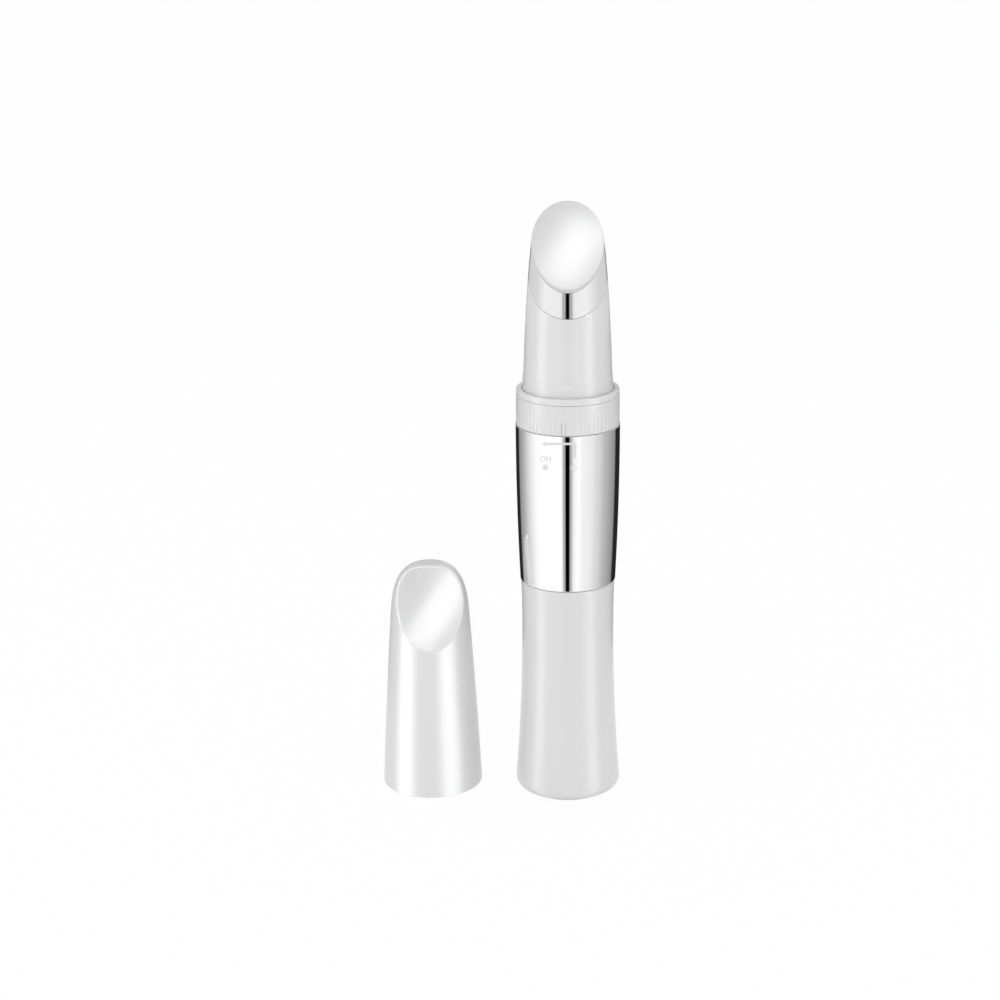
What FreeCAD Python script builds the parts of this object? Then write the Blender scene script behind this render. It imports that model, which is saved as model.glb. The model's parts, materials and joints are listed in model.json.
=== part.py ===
import FreeCAD, Part
import math
import os

# Heated eye massager wand, standing on its base, with its pull-off cap standing beside it.
# Units are millimetres. +Z runs up the wand's axis from the middle of its base, and the
# front, which the massage face looks to, is -Y. The radii grow outwards from the cell.

Vector = FreeCAD.Vector
ORIGIN = Vector(0, 0, 0)
UP = Vector(0, 0, 1)
ALONG_X = Vector(1, 0, 0)
TO_FRONT = Vector(0, -1, 0)
TO_BACK = Vector(0, 1, 0)
MITRED = 1                        # a sweep's runs meet at sharp corners
FULL_TURN = 360.0
REACH = 160.0                    # side of the blocks that cut everything on one side of a plane

# --- Clearances ---
SEAM = 0.05                      # between two fixed pieces
SLIDE_FIT = 0.10                 # radial, between the spigot and the handle's bore
TURN_FIT = 0.06                  # radial, between a turning piece and its seat
RING_PLAY = 0.05                 # axial, above and below the switch ring

# --- Cell, holder and the widths that follow from them ---
CELL_R = 7.25
CELL_LENGTH = 49.0
CELL_NUB_R = 2.75
CELL_NUB_HEIGHT = 1.0
CELL_ROOM = 0.2                  # radial room round the cell
HOLDER_WALL = 1.1
HOLDER_OVERHANG = 2.5            # of the holder's open end past the cell's end
BULKHEAD_THICKNESS = 1.8
SPIGOT_WALL = 0.8
SPIGOT_LENGTH = 8.0
HANDLE_WALL = 1.2

HOLDER_BORE_R = CELL_R + CELL_ROOM
HOLDER_R = HOLDER_BORE_R + HOLDER_WALL
CORE_BORE_R = HOLDER_R + SEAM
SPIGOT_R = CORE_BORE_R + SPIGOT_WALL
HANDLE_BORE_R = SPIGOT_R + SLIDE_FIT

# --- Handle ---
HANDLE_TOP = 52.5
HANDLE_WAIST_R = HANDLE_BORE_R + HANDLE_WALL
HANDLE_WAIST_Z = 42.0
HANDLE_FLARE = 1.6               # radius added at the foot of the handle
HANDLE_SWELL = 0.2               # radius added at its top
HANDLE_CORNER = 2.2              # rounding of its bottom edge
HANDLE_FLARE_R = HANDLE_WAIST_R + HANDLE_FLARE
HANDLE_TOP_R = HANDLE_WAIST_R + HANDLE_SWELL

# --- Foot ---
FOOT_FLANGE = 0.5
FOOT_INSET = 2.4                 # from the handle's widest radius in to the flange's edge
FOOT_FLOOR = 1.7
FOOT_PLUG_TOP = 3.5
FOOT_PLUG_WALL = 1.15
FOOT_PLUG_R = HANDLE_BORE_R - SEAM
FOOT_FLANGE_R = HANDLE_FLARE_R - FOOT_INSET

# --- Negative spring and ground strip, in the handle ---
STRIP_WIDTH = 3.0
STRIP_THICKNESS = 0.3
STRIP_TOP_GAP = 1.0              # below the end of the spigot
STRIP_INSET = 0.2                # from the handle's bore to the strip's outer face
SPRING_R = 3.0
SPRING_WIRE_R = 0.3
SPRING_HEIGHT = 6.5
SPRING_TURNS = 4
SPRING_RUNS_PER_TURN = 16

STRIP_OUTER_Y = HANDLE_BORE_R - STRIP_INSET
STRIP_TOP = HANDLE_TOP - SPIGOT_LENGTH - STRIP_TOP_GAP
SPRING_BOTTOM = FOOT_FLOOR + STRIP_THICKNESS
CELL_BOTTOM = SPRING_BOTTOM + SPRING_HEIGHT
CELL_TOP = CELL_BOTTOM + CELL_LENGTH
NUB_TOP = CELL_TOP + CELL_NUB_HEIGHT

# --- Barrel sleeve ---
BARREL_GAP = 0.2                 # shadow line between the handle and the sleeve
BARREL_LENGTH = 37.3
BARREL_STEP = 0.2                # radius by which the sleeve stands out from the handle
BARREL_SWELL = 0.9               # radius added from its bottom to its top
SLEEVE_WALL = 0.6
LIP_THICKNESS = 0.6
BARREL_BOTTOM = HANDLE_TOP + BARREL_GAP
BARREL_TOP = BARREL_BOTTOM + BARREL_LENGTH
BARREL_MIDDLE = (BARREL_BOTTOM + BARREL_TOP) / 2
BARREL_BOTTOM_R = HANDLE_TOP_R + BARREL_STEP
BARREL_TOP_R = BARREL_BOTTOM_R + BARREL_SWELL
SHOULDER_Z = BARREL_TOP - LIP_THICKNESS - SEAM

# --- Neck, switch wafer and switch ring ---
NECK_BORE_R = 7.5
NECK_WALL = 1.8
WAFER_WIDTH = 0.95
WAFER_THICKNESS = 0.8
RING_HEIGHT = 6.9
RING_SETBACK = 0.15              # radius by which the ring stands in from the sleeve's top
RING_WALL = 1.1
RING_HUB_HEIGHT = 2.75
FLUTE_COUNT = 60
FLUTE_R = 0.42
FLUTE_DEPTH = 0.12               # at the ring's bottom
FLUTE_LENGTH = 6.6               # from the bottom up to where they run out
FLUTE_REACH = 1.2                # of the leaning cuts past both ends, in flute lengths
WIPER_WIDTH = 3.0
WIPER_DEPTH = 0.8
WIPER_THICKNESS = 0.3
WIPER_LIFT = 0.1                 # between the wiper's foot and the wafer
PIN_COUNT = 3
PIN_PITCH = 1.5
PIN_SIDE = 0.4
PIN_DROP = 4.8                   # from the wafer down to where the pins turn inwards
PIN_SLOT_MARGIN = 0.8

NECK_R = NECK_BORE_R + NECK_WALL
WAFER_INNER_R = NECK_R + SEAM
WAFER_R = WAFER_INNER_R + WAFER_WIDTH
STEP_R = WAFER_R + SEAM
LIP_INNER_R = STEP_R + SEAM
RING_BOTTOM = BARREL_TOP + RING_PLAY
RING_TOP = RING_BOTTOM + RING_HEIGHT
RING_R = BARREL_TOP_R - RING_SETBACK
NECK_TOP = RING_TOP + RING_PLAY
PIN_Y = -(WAFER_INNER_R + WAFER_R) / 2
PIN_TURN_Z = BARREL_TOP - PIN_DROP

# --- Collar rim ---
RIM_HEIGHT = 1.4
RIM_WEB = 0.8
RIM_SETBACK = 0.2                # radius by which the rim stands in from the sleeve's top
RIM_SKIN = 1.1
RIM_EDGE = 0.3                   # rounding of its top edge
RIM_WEB_MARGIN = 0.1             # between the neck's bore and the web's hole
RIM_R = BARREL_TOP_R - RIM_SETBACK
RIM_TOP = NECK_TOP + RIM_HEIGHT
WEB_TOP = NECK_TOP + RIM_WEB

# --- Nose cone and massage head, which share one outer line ---
NOSE_GAP = 0.4                   # shadow gap between the rim and the nose
BAND_HEIGHT = 3.6
BAND_STEP = 0.15                 # radius lost at the step above the band
STEP_HEIGHT = 0.1
NOSE_TAPER = 0.8                 # radius lost where the line's pull point lies
NOSE_TIP_TAPER = 3.25            # radius lost at the end of the line
NOSE_PULL_HEIGHT = 25.5          # above the step
NOSE_LINE_HEIGHT = 40.0          # above the step, a little past the head's tip
NOSE_WALL = 1.2
NOSE_CUT_HEIGHT = 22.9           # on the axis, above the step, where the head begins
NOSE_CUT_SLOPE = 0.85
BEAD_R = 0.3
BEAD_RISE = 0.12                 # height of the beads above the band
BEAD_SPACING = 0.8
BEAD_DROP = 0.35                 # below the band's top
HEAD_WALL = 0.7                  # of the tongue inside the nose cone
TONGUE_BOTTOM_HEIGHT = 11.0      # above the step

BAND_R = RIM_R - RIM_SKIN - NOSE_GAP
BAND_TOP = WEB_TOP + BAND_HEIGHT
NOSE_START_R = BAND_R - BAND_STEP
NOSE_START_Z = BAND_TOP + STEP_HEIGHT
NOSE_CUT_Z = NOSE_START_Z + NOSE_CUT_HEIGHT
TONGUE_INSET = NOSE_WALL + SEAM
HOLLOW_INSET = TONGUE_INSET + HEAD_WALL

# --- Warm face ---
FACE_HEIGHT = 32.07              # of its middle, on the axis, above the step
FACE_SLOPE = 1.015               # at its middle
FACE_DOME_R = 90.0
WARM_PLATE = 0.35                # thickness
FILM_THICKNESS = 0.25
PAD_THICKNESS = 1.5
THERMISTOR_R = 0.9
THERMISTOR_LENGTH = 1.2
FACE_Z = NOSE_START_Z + FACE_HEIGHT
FILM_BOTTOM = WARM_PLATE + FILM_THICKNESS
PAD_BOTTOM = FILM_BOTTOM + PAD_THICKNESS

# --- Head carrier, motor and screws ---
CARRIER_THICKNESS = 1.2
MOTOR_R = 3.0
MOTOR_LENGTH = 12.0
MOTOR_SLEEVE_WALL = 0.85
TOWER_WALL = 0.75
TOWER_HEIGHT = 8.4
SLEEVE_OVERHANG = 0.5            # of the rubber above the tower
SHAFT_R = 0.5
SHAFT_SUNK = 8.6                 # length of the shaft inside the motor
WEIGHT_R = 2.6
WEIGHT_LIFT = 0.9                # above the motor
WEIGHT_HEIGHT = 4.5
WEIGHT_HUB_R = 1.0
SHAFT_END = 0.3                  # length that the shaft stands out of the weight
SCREW_R = 0.95
SCREW_HEAD_R = 1.4
SCREW_HEAD_HEIGHT = 1.1
SCREW_GRIP = 4.0                 # length of thread in the holder's posts
SCREW_MARGIN = 0.35              # between the screws and the neck's bore
SCREW_Y = 0.5
SCREW_SLOT_WIDTH = 0.5
SCREW_SLOT_DEPTH = 0.4

CARRIER_TOP = WEB_TOP + CARRIER_THICKNESS
CARRIER_R = NOSE_START_R - NOSE_WALL - SEAM
MOTOR_BOTTOM = CARRIER_TOP + SEAM
MOTOR_TOP = MOTOR_BOTTOM + MOTOR_LENGTH
MOTOR_SLEEVE_R = MOTOR_R + SEAM + MOTOR_SLEEVE_WALL
TOWER_BORE_R = MOTOR_SLEEVE_R + SEAM
TOWER_R = TOWER_BORE_R + TOWER_WALL
WEIGHT_BOTTOM = MOTOR_TOP + WEIGHT_LIFT
WEIGHT_TOP = WEIGHT_BOTTOM + WEIGHT_HEIGHT
SCREW_X = NECK_BORE_R - SCREW_MARGIN - SCREW_R

# --- Holder posts and circuit board ---
PLATE_THICKNESS = 2.0            # of the wall that closes the core below the neck
POST_INNER_X = 4.9
POST_FRONT_Y = -3.4
POST_BACK_Y = 2.4
BOARD_THICKNESS = 1.0
BOARD_Y = -1.85                  # back face of the board
BOARD_SLOT_DEPTH = 1.9
BOARD_TOP_GAP = 0.2
CONTACT_THICKNESS = 0.3
CONTACT_R = 3.5
CONTACT_STEM_WIDTH = 1.5
CONTACT_STEM_LENGTH = 2.4        # above the bulkhead
LEAF_WIDTH = 2.4
LEAF_THICKNESS = 0.25
LEAF_BUMP_R = 0.7
LEAF_BUMP_DROP = 5.0             # below the end of the spigot
LEAF_TAIL = 3.5                  # below the bump
LEAF_TAB_LIFT = 1.2              # above the bulkhead

BULKHEAD_BOTTOM = NUB_TOP + CONTACT_THICKNESS
BULKHEAD_TOP = BULKHEAD_BOTTOM + BULKHEAD_THICKNESS
PLATE_BOTTOM = SHOULDER_Z - PLATE_THICKNESS
BOARD_FRONT_Y = BOARD_Y - BOARD_THICKNESS
BOARD_BOTTOM = BULKHEAD_TOP
BOARD_TOP = PLATE_BOTTOM - BOARD_TOP_GAP
BOARD_HALF_WIDTH = POST_INNER_X + BOARD_SLOT_DEPTH
LEAF_OUTER_Y = HOLDER_R - SEAM
LEAF_BUMP_Z = HANDLE_TOP - SPIGOT_LENGTH - LEAF_BUMP_DROP

# --- Parts on the board ---
INDUCTOR_R = 2.6
INDUCTOR_HEIGHT = 3.0
INDUCTOR_LIFT = 9.4              # above the board's bottom edge
CAPACITOR_R = 1.5
CAPACITOR_HEIGHT = 3.0
CAPACITOR_GAP = 0.2              # between the capacitors and the holder's posts
CAPACITOR_LIFT = 4.4
CAPACITOR_X = POST_INNER_X - CAPACITOR_GAP - CAPACITOR_R
DRIVER_SIDE = 5.0
DRIVER_THICKNESS = 1.0
DRIVER_LIFT = 17.0
REGULATOR_WIDTH = 3.2
REGULATOR_HEIGHT = 1.8
REGULATOR_THICKNESS = 1.1
REGULATOR_LIFT = 10.5

# --- Leads ---
LEAD_R = 0.3
LEAD_HOLE_R = 0.5
MOTOR_LEAD_X = 1.2
MOTOR_LEAD_Y = 2.15
MOTOR_LEAD_DROP = 5.1            # from the board's top edge to the solder point
MOTOR_LEAD_BEND = 1.8
HEATER_LEAD_X = 0.8
HEATER_LEAD_GAP = 0.15           # between the motor tower and the leads
HEATER_LEAD_DROP = 11.0
HEATER_LEAD_BEND = 3.2
LEAD_END_GAP = 0.02
WINDOW_MARGIN = 0.35             # round the leads where they pass a wall
HEATER_LEAD_Y = TOWER_R + HEATER_LEAD_GAP + LEAD_R
HEATER_LEAD_TOP = FACE_Z + FACE_SLOPE * HEATER_LEAD_Y

# --- O-ring on the spigot ---
ORING_SECTION_R = 0.23
ORING_DROP = 4.0                 # below the handle's top
ORING_GROOVE_WIDTH = 0.6
ORING_FIT = 0.03
ORING_R = HANDLE_BORE_R - ORING_FIT - ORING_SECTION_R
GROOVE_FLOOR_R = ORING_R - ORING_SECTION_R - ORING_FIT

# --- Cap, which stands beside the wand and fits over its nose ---
CAP_X = -32.6
CAP_Y = 3.0
CAP_WALL = 1.2
CAP_R = 11.8                     # as wide as the collar rim that it seats on
CAP_EDGE = 0.3                   # rounding of its mouth
CAP_SHOULDER_R = 9.2
CAP_SHOULDER_Z = 43.9
CAP_PULL_R = 11.0
CAP_PULL_Z = 18.6
CAP_CROWN_R = 2.2
CAP_CROWN_PULL_R = 8.4
CAP_HEIGHT = 54.75
CAP_TURN = 3.65                  # degrees, by which its face turns to the right
CAP_FACE_Z = 57.17               # height at which the face plane crosses the cap's axis
CAP_FACE_SLOPE = 2.165
CAP_DISH_R = 28.4
CAP_DISH_DEPTH = 1.93
CAP_DISH_SHIFT = -12.95          # along the face, from the axis to the dish's middle
CAP_MOUTH_DEPTH = 6.0
CAP_FIT = 0.2                    # radial, between the cap's mouth and the nose band
CAP_MOUTH_R = BAND_R + CAP_FIT


def lathe(start, *stretches):
    """Turn a closed outline about the wand's axis.

    Each stretch lists the (radius, height) points after the one that it starts from. One point
    makes a straight run, and two make a bow that the first of them pulls.
    """
    edges = []
    here = start
    for stretch in stretches + ((start,),):
        poles = [Vector(radius, 0, height) for radius, height in (here,) + stretch]
        if len(poles) == 2:
            edges.append(Part.makeLine(*poles))
        else:
            bow = Part.BezierCurve()
            bow.setPoles(poles)
            edges.append(bow.toShape())
        here = stretch[-1]
    return Part.Face(Part.Wire(edges)).revolve(ORIGIN, UP, FULL_TURN)


def rod(radius, bottom, top, x=0.0, y=0.0):
    """An upright round rod."""
    return Part.makeCylinder(radius, top - bottom, Vector(x, y, bottom))


def tube(outer, inner, bottom, top):
    """An upright tube about the wand's axis."""
    return rod(outer, bottom, top).cut(rod(inner, bottom, top))


def block(x_range, y_range, z_range):
    """A box between two values on each axis."""
    (x0, x1), (y0, y1), (z0, z1) = x_range, y_range, z_range
    return Part.makeBox(x1 - x0, y1 - y0, z1 - z0, Vector(x0, y0, z0))


def across(width):
    """The span of a width that is centred on the wand's axis."""
    return (-width / 2, width / 2)


def on_plane(shape, crossing, slope):
    """Lay a shape, drawn on the level plane, on one that rises towards the back."""
    laid = shape.copy()
    laid.rotate(ORIGIN, ALONG_X, math.degrees(math.atan(slope)))
    laid.translate(Vector(0, 0, crossing))
    return laid


def above(crossing, slope, lift=0.0):
    """Everything above a tilted plane, raised along its normal by lift."""
    half = Part.makeBox(REACH, REACH, REACH, Vector(-REACH / 2, -REACH / 2, lift))
    return on_plane(half, crossing, slope)


def dished(radius, depth, shift, crossing, slope):
    """The ball whose underside dishes a tilted plane."""
    ball = Part.makeSphere(radius, Vector(0, shift, radius - depth))
    return on_plane(ball, crossing, slope)


def face_dome(depth=0.0):
    """The ball under the domed warm face, shrunk by depth."""
    ball = Part.makeSphere(FACE_DOME_R - depth, Vector(0, 0, -FACE_DOME_R))
    return on_plane(ball, FACE_Z, FACE_SLOPE)


def face_layer(shape, bottom, top):
    """The slice of a shape between two depths below the domed face."""
    return shape.common(face_dome(top)).cut(face_dome(bottom))


def lead(start, corner, end, bend):
    """A round wire with one square corner, rounded by the bend radius."""
    first = (corner - start).normalize()
    second = (end - corner).normalize()
    centre = corner - first * bend + second * bend
    middle = centre + (corner - centre).normalize() * bend
    bend_start = corner - first * bend
    bend_end = corner + second * bend
    path = Part.Wire([
        Part.makeLine(start, bend_start),
        Part.Arc(bend_start, middle, bend_end).toShape(),
        Part.makeLine(bend_end, end),
    ])
    section = Part.Wire(Part.makeCircle(LEAD_R, start, first))
    return path.makePipeShell([section], True, True)


def nose_solid(inset):
    """The solid inside the nose's and head's outer line, shrunk by inset in radius."""
    return lathe(
        (0, NOSE_START_Z),
        ((NOSE_START_R - inset, NOSE_START_Z),),
        (
            (NOSE_START_R - NOSE_TAPER - inset, NOSE_START_Z + NOSE_PULL_HEIGHT),
            (NOSE_START_R - NOSE_TIP_TAPER - inset, NOSE_START_Z + NOSE_LINE_HEIGHT),
        ),
        ((0, NOSE_START_Z + NOSE_LINE_HEIGHT),),
    )


def barrel_solid(inset, bottom, top):
    """The solid inside the barrel's outer line, shrunk by inset, between two heights."""
    full = lathe(
        (0, BARREL_BOTTOM),
        ((BARREL_BOTTOM_R - inset, BARREL_BOTTOM),),
        ((BARREL_TOP_R - inset, BARREL_MIDDLE), (BARREL_TOP_R - inset, BARREL_TOP)),
        ((0, BARREL_TOP),),
    )
    return full.common(rod(REACH / 2, bottom, top))


# --- Handle unit ---

def handle_shell():
    """The white grip: waisted outside, with one straight bore."""
    middle = (FOOT_FLANGE + HANDLE_CORNER + HANDLE_WAIST_Z) / 2
    upper_middle = (HANDLE_WAIST_Z + HANDLE_TOP) / 2
    corner_top = FOOT_FLANGE + HANDLE_CORNER
    return lathe(
        (HANDLE_BORE_R, FOOT_FLANGE),
        ((HANDLE_FLARE_R - HANDLE_CORNER, FOOT_FLANGE),),
        ((HANDLE_FLARE_R, FOOT_FLANGE), (HANDLE_FLARE_R, corner_top)),
        ((HANDLE_WAIST_R, middle), (HANDLE_WAIST_R, HANDLE_WAIST_Z)),
        ((HANDLE_WAIST_R, upper_middle), (HANDLE_TOP_R, HANDLE_TOP)),
        ((HANDLE_BORE_R, HANDLE_TOP),),
    )


def ground_strip(grow=0.0):
    """The strip from under the spring up the handle's bore, or the room for it."""
    width = across(STRIP_WIDTH + 2 * grow)
    inner_y = STRIP_OUTER_Y - STRIP_THICKNESS - grow
    outer_y = STRIP_OUTER_Y + grow
    seat = block(width, (-SPRING_R - grow, outer_y), (FOOT_FLOOR, SPRING_BOTTOM + grow))
    riser = block(width, (inner_y, outer_y), (FOOT_FLOOR, STRIP_TOP))
    return seat.fuse(riser).removeSplitter()


def base_foot():
    """The flanged plug that closes the handle and that the wand stands on."""
    flange = rod(FOOT_FLANGE_R, 0, FOOT_FLANGE)
    plug = rod(FOOT_PLUG_R, 0, FOOT_PLUG_TOP)
    well = rod(FOOT_PLUG_R - FOOT_PLUG_WALL, FOOT_FLOOR, FOOT_PLUG_TOP)
    return flange.fuse(plug).cut(well).cut(ground_strip(SEAM)).removeSplitter()


def negative_spring():
    """The compression spring under the cell, its coil bent in short straight runs."""
    runs = SPRING_TURNS * SPRING_RUNS_PER_TURN
    rise = (SPRING_HEIGHT - 2 * SPRING_WIRE_R) / runs
    turn = 2 * math.pi / SPRING_RUNS_PER_TURN
    bottom = SPRING_BOTTOM + SPRING_WIRE_R
    corners = [
        Vector(
            SPRING_R * math.cos(index * turn),
            SPRING_R * math.sin(index * turn),
            bottom + index * rise,
        )
        for index in range(runs + 1)
    ]
    start, second = corners[:2]
    section = Part.Wire(Part.makeCircle(SPRING_WIRE_R, start, second - start))
    return Part.makePolygon(corners).makePipeShell([section], True, True, MITRED)


# --- Battery and electronics, which leave the handle with the upper unit ---

def battery_cell():
    """One AA cell, nub up."""
    can = rod(CELL_R, CELL_BOTTOM, CELL_TOP)
    return can.fuse(rod(CELL_NUB_R, CELL_TOP, NUB_TOP)).removeSplitter()


def positive_contact(grow=0.0):
    """The disc on the cell's nub, with a stem up to the board, or the room for the stem."""
    stem = block(
        across(CONTACT_STEM_WIDTH + 2 * grow),
        (BOARD_FRONT_Y - CONTACT_THICKNESS - grow, BOARD_FRONT_Y + grow),
        (NUB_TOP, BULKHEAD_TOP + CONTACT_STEM_LENGTH),
    )
    if grow:
        return stem
    return rod(CONTACT_R, NUB_TOP, BULKHEAD_BOTTOM).fuse(stem).removeSplitter()


def contact_leaf(grow=0.0):
    """The strip on the holder that picks up the ground strip, or the room for it."""
    width = across(LEAF_WIDTH + 2 * grow)
    inner_y = LEAF_OUTER_Y - LEAF_THICKNESS - grow
    tab_bottom = BULKHEAD_TOP + LEAF_TAB_LIFT
    tab_top = tab_bottom + LEAF_THICKNESS
    bottom = LEAF_BUMP_Z - LEAF_TAIL
    if grow:
        return block(width, (inner_y, HANDLE_BORE_R), (bottom - grow, tab_top))
    riser = block(width, (inner_y, LEAF_OUTER_Y), (bottom, tab_top))
    tab = block(width, (BOARD_Y, LEAF_OUTER_Y), (tab_bottom, tab_top))
    bump_start = Vector(-LEAF_WIDTH / 2, LEAF_OUTER_Y - LEAF_THICKNESS, LEAF_BUMP_Z)
    bump = Part.makeCylinder(LEAF_BUMP_R, LEAF_WIDTH, bump_start, ALONG_X)
    behind = block(across(REACH), (inner_y, REACH), (0, BARREL_TOP))
    return riser.fuse([tab, bump.common(behind)]).removeSplitter()


def battery_holder():
    """The tube round the cell, its bulkhead, and the two posts that carry the board."""
    bottom = CELL_BOTTOM - HOLDER_OVERHANG
    walls = tube(HOLDER_R, HOLDER_BORE_R, bottom, BULKHEAD_BOTTOM)
    bulkhead = rod(HOLDER_R, BULKHEAD_BOTTOM, BULKHEAD_TOP)
    post_height = (BULKHEAD_TOP, PLATE_BOTTOM)
    posts = rod(HOLDER_R, *post_height).common(
        block(across(REACH), (POST_FRONT_Y, POST_BACK_Y), post_height)
    ).cut(block(across(2 * POST_INNER_X), across(REACH), post_height))
    slot = block(
        across(2 * (BOARD_HALF_WIDTH + SEAM)),
        (BOARD_FRONT_Y - SEAM, BOARD_Y + SEAM),
        (BOARD_BOTTOM, PLATE_BOTTOM),
    )
    holes = [
        rod(SCREW_R + SEAM, PLATE_BOTTOM - SCREW_GRIP - SEAM, PLATE_BOTTOM, x, SCREW_Y)
        for x in (-SCREW_X, SCREW_X)
    ]
    body = walls.fuse([bulkhead, posts]).removeSplitter()
    return body.cut([slot, contact_leaf(SEAM), positive_contact(SEAM)] + holes)


def circuit_board():
    """The heater and motor driver board, upright between the posts."""
    return block(
        across(2 * BOARD_HALF_WIDTH), (BOARD_FRONT_Y, BOARD_Y), (BOARD_BOTTOM, BOARD_TOP)
    )


def power_inductor():
    """The boost inductor on the back of the board."""
    start = Vector(0, BOARD_Y, BOARD_BOTTOM + INDUCTOR_LIFT)
    return Part.makeCylinder(INDUCTOR_R, INDUCTOR_HEIGHT, start, TO_BACK)


def capacitors():
    """The two can capacitors low on the front of the board."""
    height = BOARD_BOTTOM + CAPACITOR_LIFT
    return Part.makeCompound([
        Part.makeCylinder(CAPACITOR_R, CAPACITOR_HEIGHT, Vector(x, BOARD_FRONT_Y, height), TO_FRONT)
        for x in (-CAPACITOR_X, CAPACITOR_X)
    ])


def chip(width, height, thickness, lift):
    """A flat chip on the front of the board."""
    middle = BOARD_BOTTOM + lift
    return block(
        across(width),
        (BOARD_FRONT_Y - thickness, BOARD_FRONT_Y),
        (middle - height / 2, middle + height / 2),
    )


def control_chips():
    """The driver and the regulator."""
    return Part.makeCompound([
        chip(DRIVER_SIDE, DRIVER_SIDE, DRIVER_THICKNESS, DRIVER_LIFT),
        chip(REGULATOR_WIDTH, REGULATOR_HEIGHT, REGULATOR_THICKNESS, REGULATOR_LIFT),
    ])


# --- Barrel ---

def barrel_sleeve():
    """The chrome sleeve, with a lip turned in over the core's shoulder."""
    outer = barrel_solid(0, BARREL_BOTTOM, BARREL_TOP)
    inner = barrel_solid(SLEEVE_WALL, BARREL_BOTTOM, BARREL_TOP - LIP_THICKNESS)
    return outer.cut([inner, rod(LIP_INNER_R, BARREL_BOTTOM, BARREL_TOP)])


def lead_window(x, y, bottom, top, y_end=None):
    """The room for a pair of leads through a wall, from y to y_end."""
    reach = LEAD_R + WINDOW_MARGIN
    last = y if y_end is None else y_end
    return block(across(2 * (x + reach)), (y - reach, last + reach), (bottom, top))


def body_core():
    """The moulding that joins the barrel: spigot, barrel wall, closing plate and neck."""
    spigot_bottom = HANDLE_TOP - SPIGOT_LENGTH
    bottom = HANDLE_TOP + SEAM
    spigot = rod(SPIGOT_R, spigot_bottom, BARREL_MIDDLE)
    shoulder = rod(BARREL_BOTTOM_R - SLEEVE_WALL - SEAM, bottom, BARREL_BOTTOM)
    barrel = barrel_solid(SLEEVE_WALL + SEAM, BARREL_BOTTOM, SHOULDER_Z)
    step = rod(STEP_R, SHOULDER_Z, BARREL_TOP)
    neck = rod(NECK_R, BARREL_TOP, NECK_TOP)
    body = barrel.fuse([spigot, shoulder, step, neck]).removeSplitter()
    groove_bottom = HANDLE_TOP - ORING_DROP - ORING_GROOVE_WIDTH / 2
    groove = tube(REACH / 2, GROOVE_FLOOR_R, groove_bottom, groove_bottom + ORING_GROOVE_WIDTH)
    pin_slot = block(
        across((PIN_COUNT - 1) * PIN_PITCH + PIN_SIDE + 2 * PIN_SLOT_MARGIN),
        (-STEP_R, -NECK_BORE_R),
        (PIN_TURN_Z - PIN_SLOT_MARGIN, BARREL_TOP),
    )
    screw_holes = [
        rod(SCREW_R + SEAM, PLATE_BOTTOM, SHOULDER_Z, x, SCREW_Y) for x in (-SCREW_X, SCREW_X)
    ]
    return body.cut([
        rod(CORE_BORE_R, spigot_bottom, PLATE_BOTTOM),
        rod(NECK_BORE_R, SHOULDER_Z, NECK_TOP),
        groove,
        pin_slot,
        lead_window(MOTOR_LEAD_X, MOTOR_LEAD_Y, PLATE_BOTTOM, SHOULDER_Z, HEATER_LEAD_Y),
    ] + screw_holes)


def body_o_ring():
    """The ring that holds the spigot in the handle."""
    return Part.makeTorus(ORING_R, ORING_SECTION_R, Vector(0, 0, HANDLE_TOP - ORING_DROP))


# --- Rotary switch ---

def switch_wafer():
    """The ring of contacts on the core's step, under the switch ring."""
    return tube(WAFER_R, WAFER_INNER_R, BARREL_TOP, BARREL_TOP + WAFER_THICKNESS)


def switch_pins():
    """The pins from the wafer down and in to the board."""
    pins = []
    for index in range(PIN_COUNT):
        x = (index - (PIN_COUNT - 1) / 2) * PIN_PITCH
        width = (x - PIN_SIDE / 2, x + PIN_SIDE / 2)
        outer_y = PIN_Y - PIN_SIDE / 2
        upright = block(width, (outer_y, outer_y + PIN_SIDE), (PIN_TURN_Z, BARREL_TOP))
        level = block(width, (outer_y, BOARD_FRONT_Y), (PIN_TURN_Z, PIN_TURN_Z + PIN_SIDE))
        pins.append(upright.fuse(level).removeSplitter())
    return Part.makeCompound(pins)


def switch_ring():
    """The fluted ring that the user turns, hollow below its hub."""
    body = tube(RING_R, NECK_R + TURN_FIT, RING_BOTTOM, RING_TOP)
    room = rod(RING_R - RING_WALL, RING_BOTTOM, RING_TOP - RING_HUB_HEIGHT)
    flutes = []
    for index in range(FLUTE_COUNT):
        angle = math.radians(FULL_TURN * index / FLUTE_COUNT)
        out = Vector(math.cos(angle), math.sin(angle), 0)
        run_out = out * (RING_R + FLUTE_R) + UP * (RING_BOTTOM + FLUTE_LENGTH)
        lean = out * FLUTE_DEPTH + UP * FLUTE_LENGTH
        start = run_out - lean * FLUTE_REACH
        flutes.append(Part.makeCylinder(FLUTE_R, 2 * FLUTE_REACH * lean.Length, start, lean))
    return body.cut([room] + flutes)


def switch_wiper():
    """The bent contact under the ring's hub, at the front."""
    bottom = BARREL_TOP + WAFER_THICKNESS + WIPER_LIFT
    top = RING_TOP - RING_HUB_HEIGHT
    half = WIPER_WIDTH / 2
    depth = (PIN_Y - WIPER_DEPTH / 2, PIN_Y + WIPER_DEPTH / 2)
    tab = block((-half, half), depth, (top - WIPER_THICKNESS, top))
    leg = block((half - WIPER_THICKNESS, half), depth, (bottom, top))
    foot = block((-half, half), depth, (bottom, bottom + WIPER_THICKNESS))
    return tab.fuse([leg, foot]).removeSplitter()


# --- Collar, nose and head ---

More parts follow.
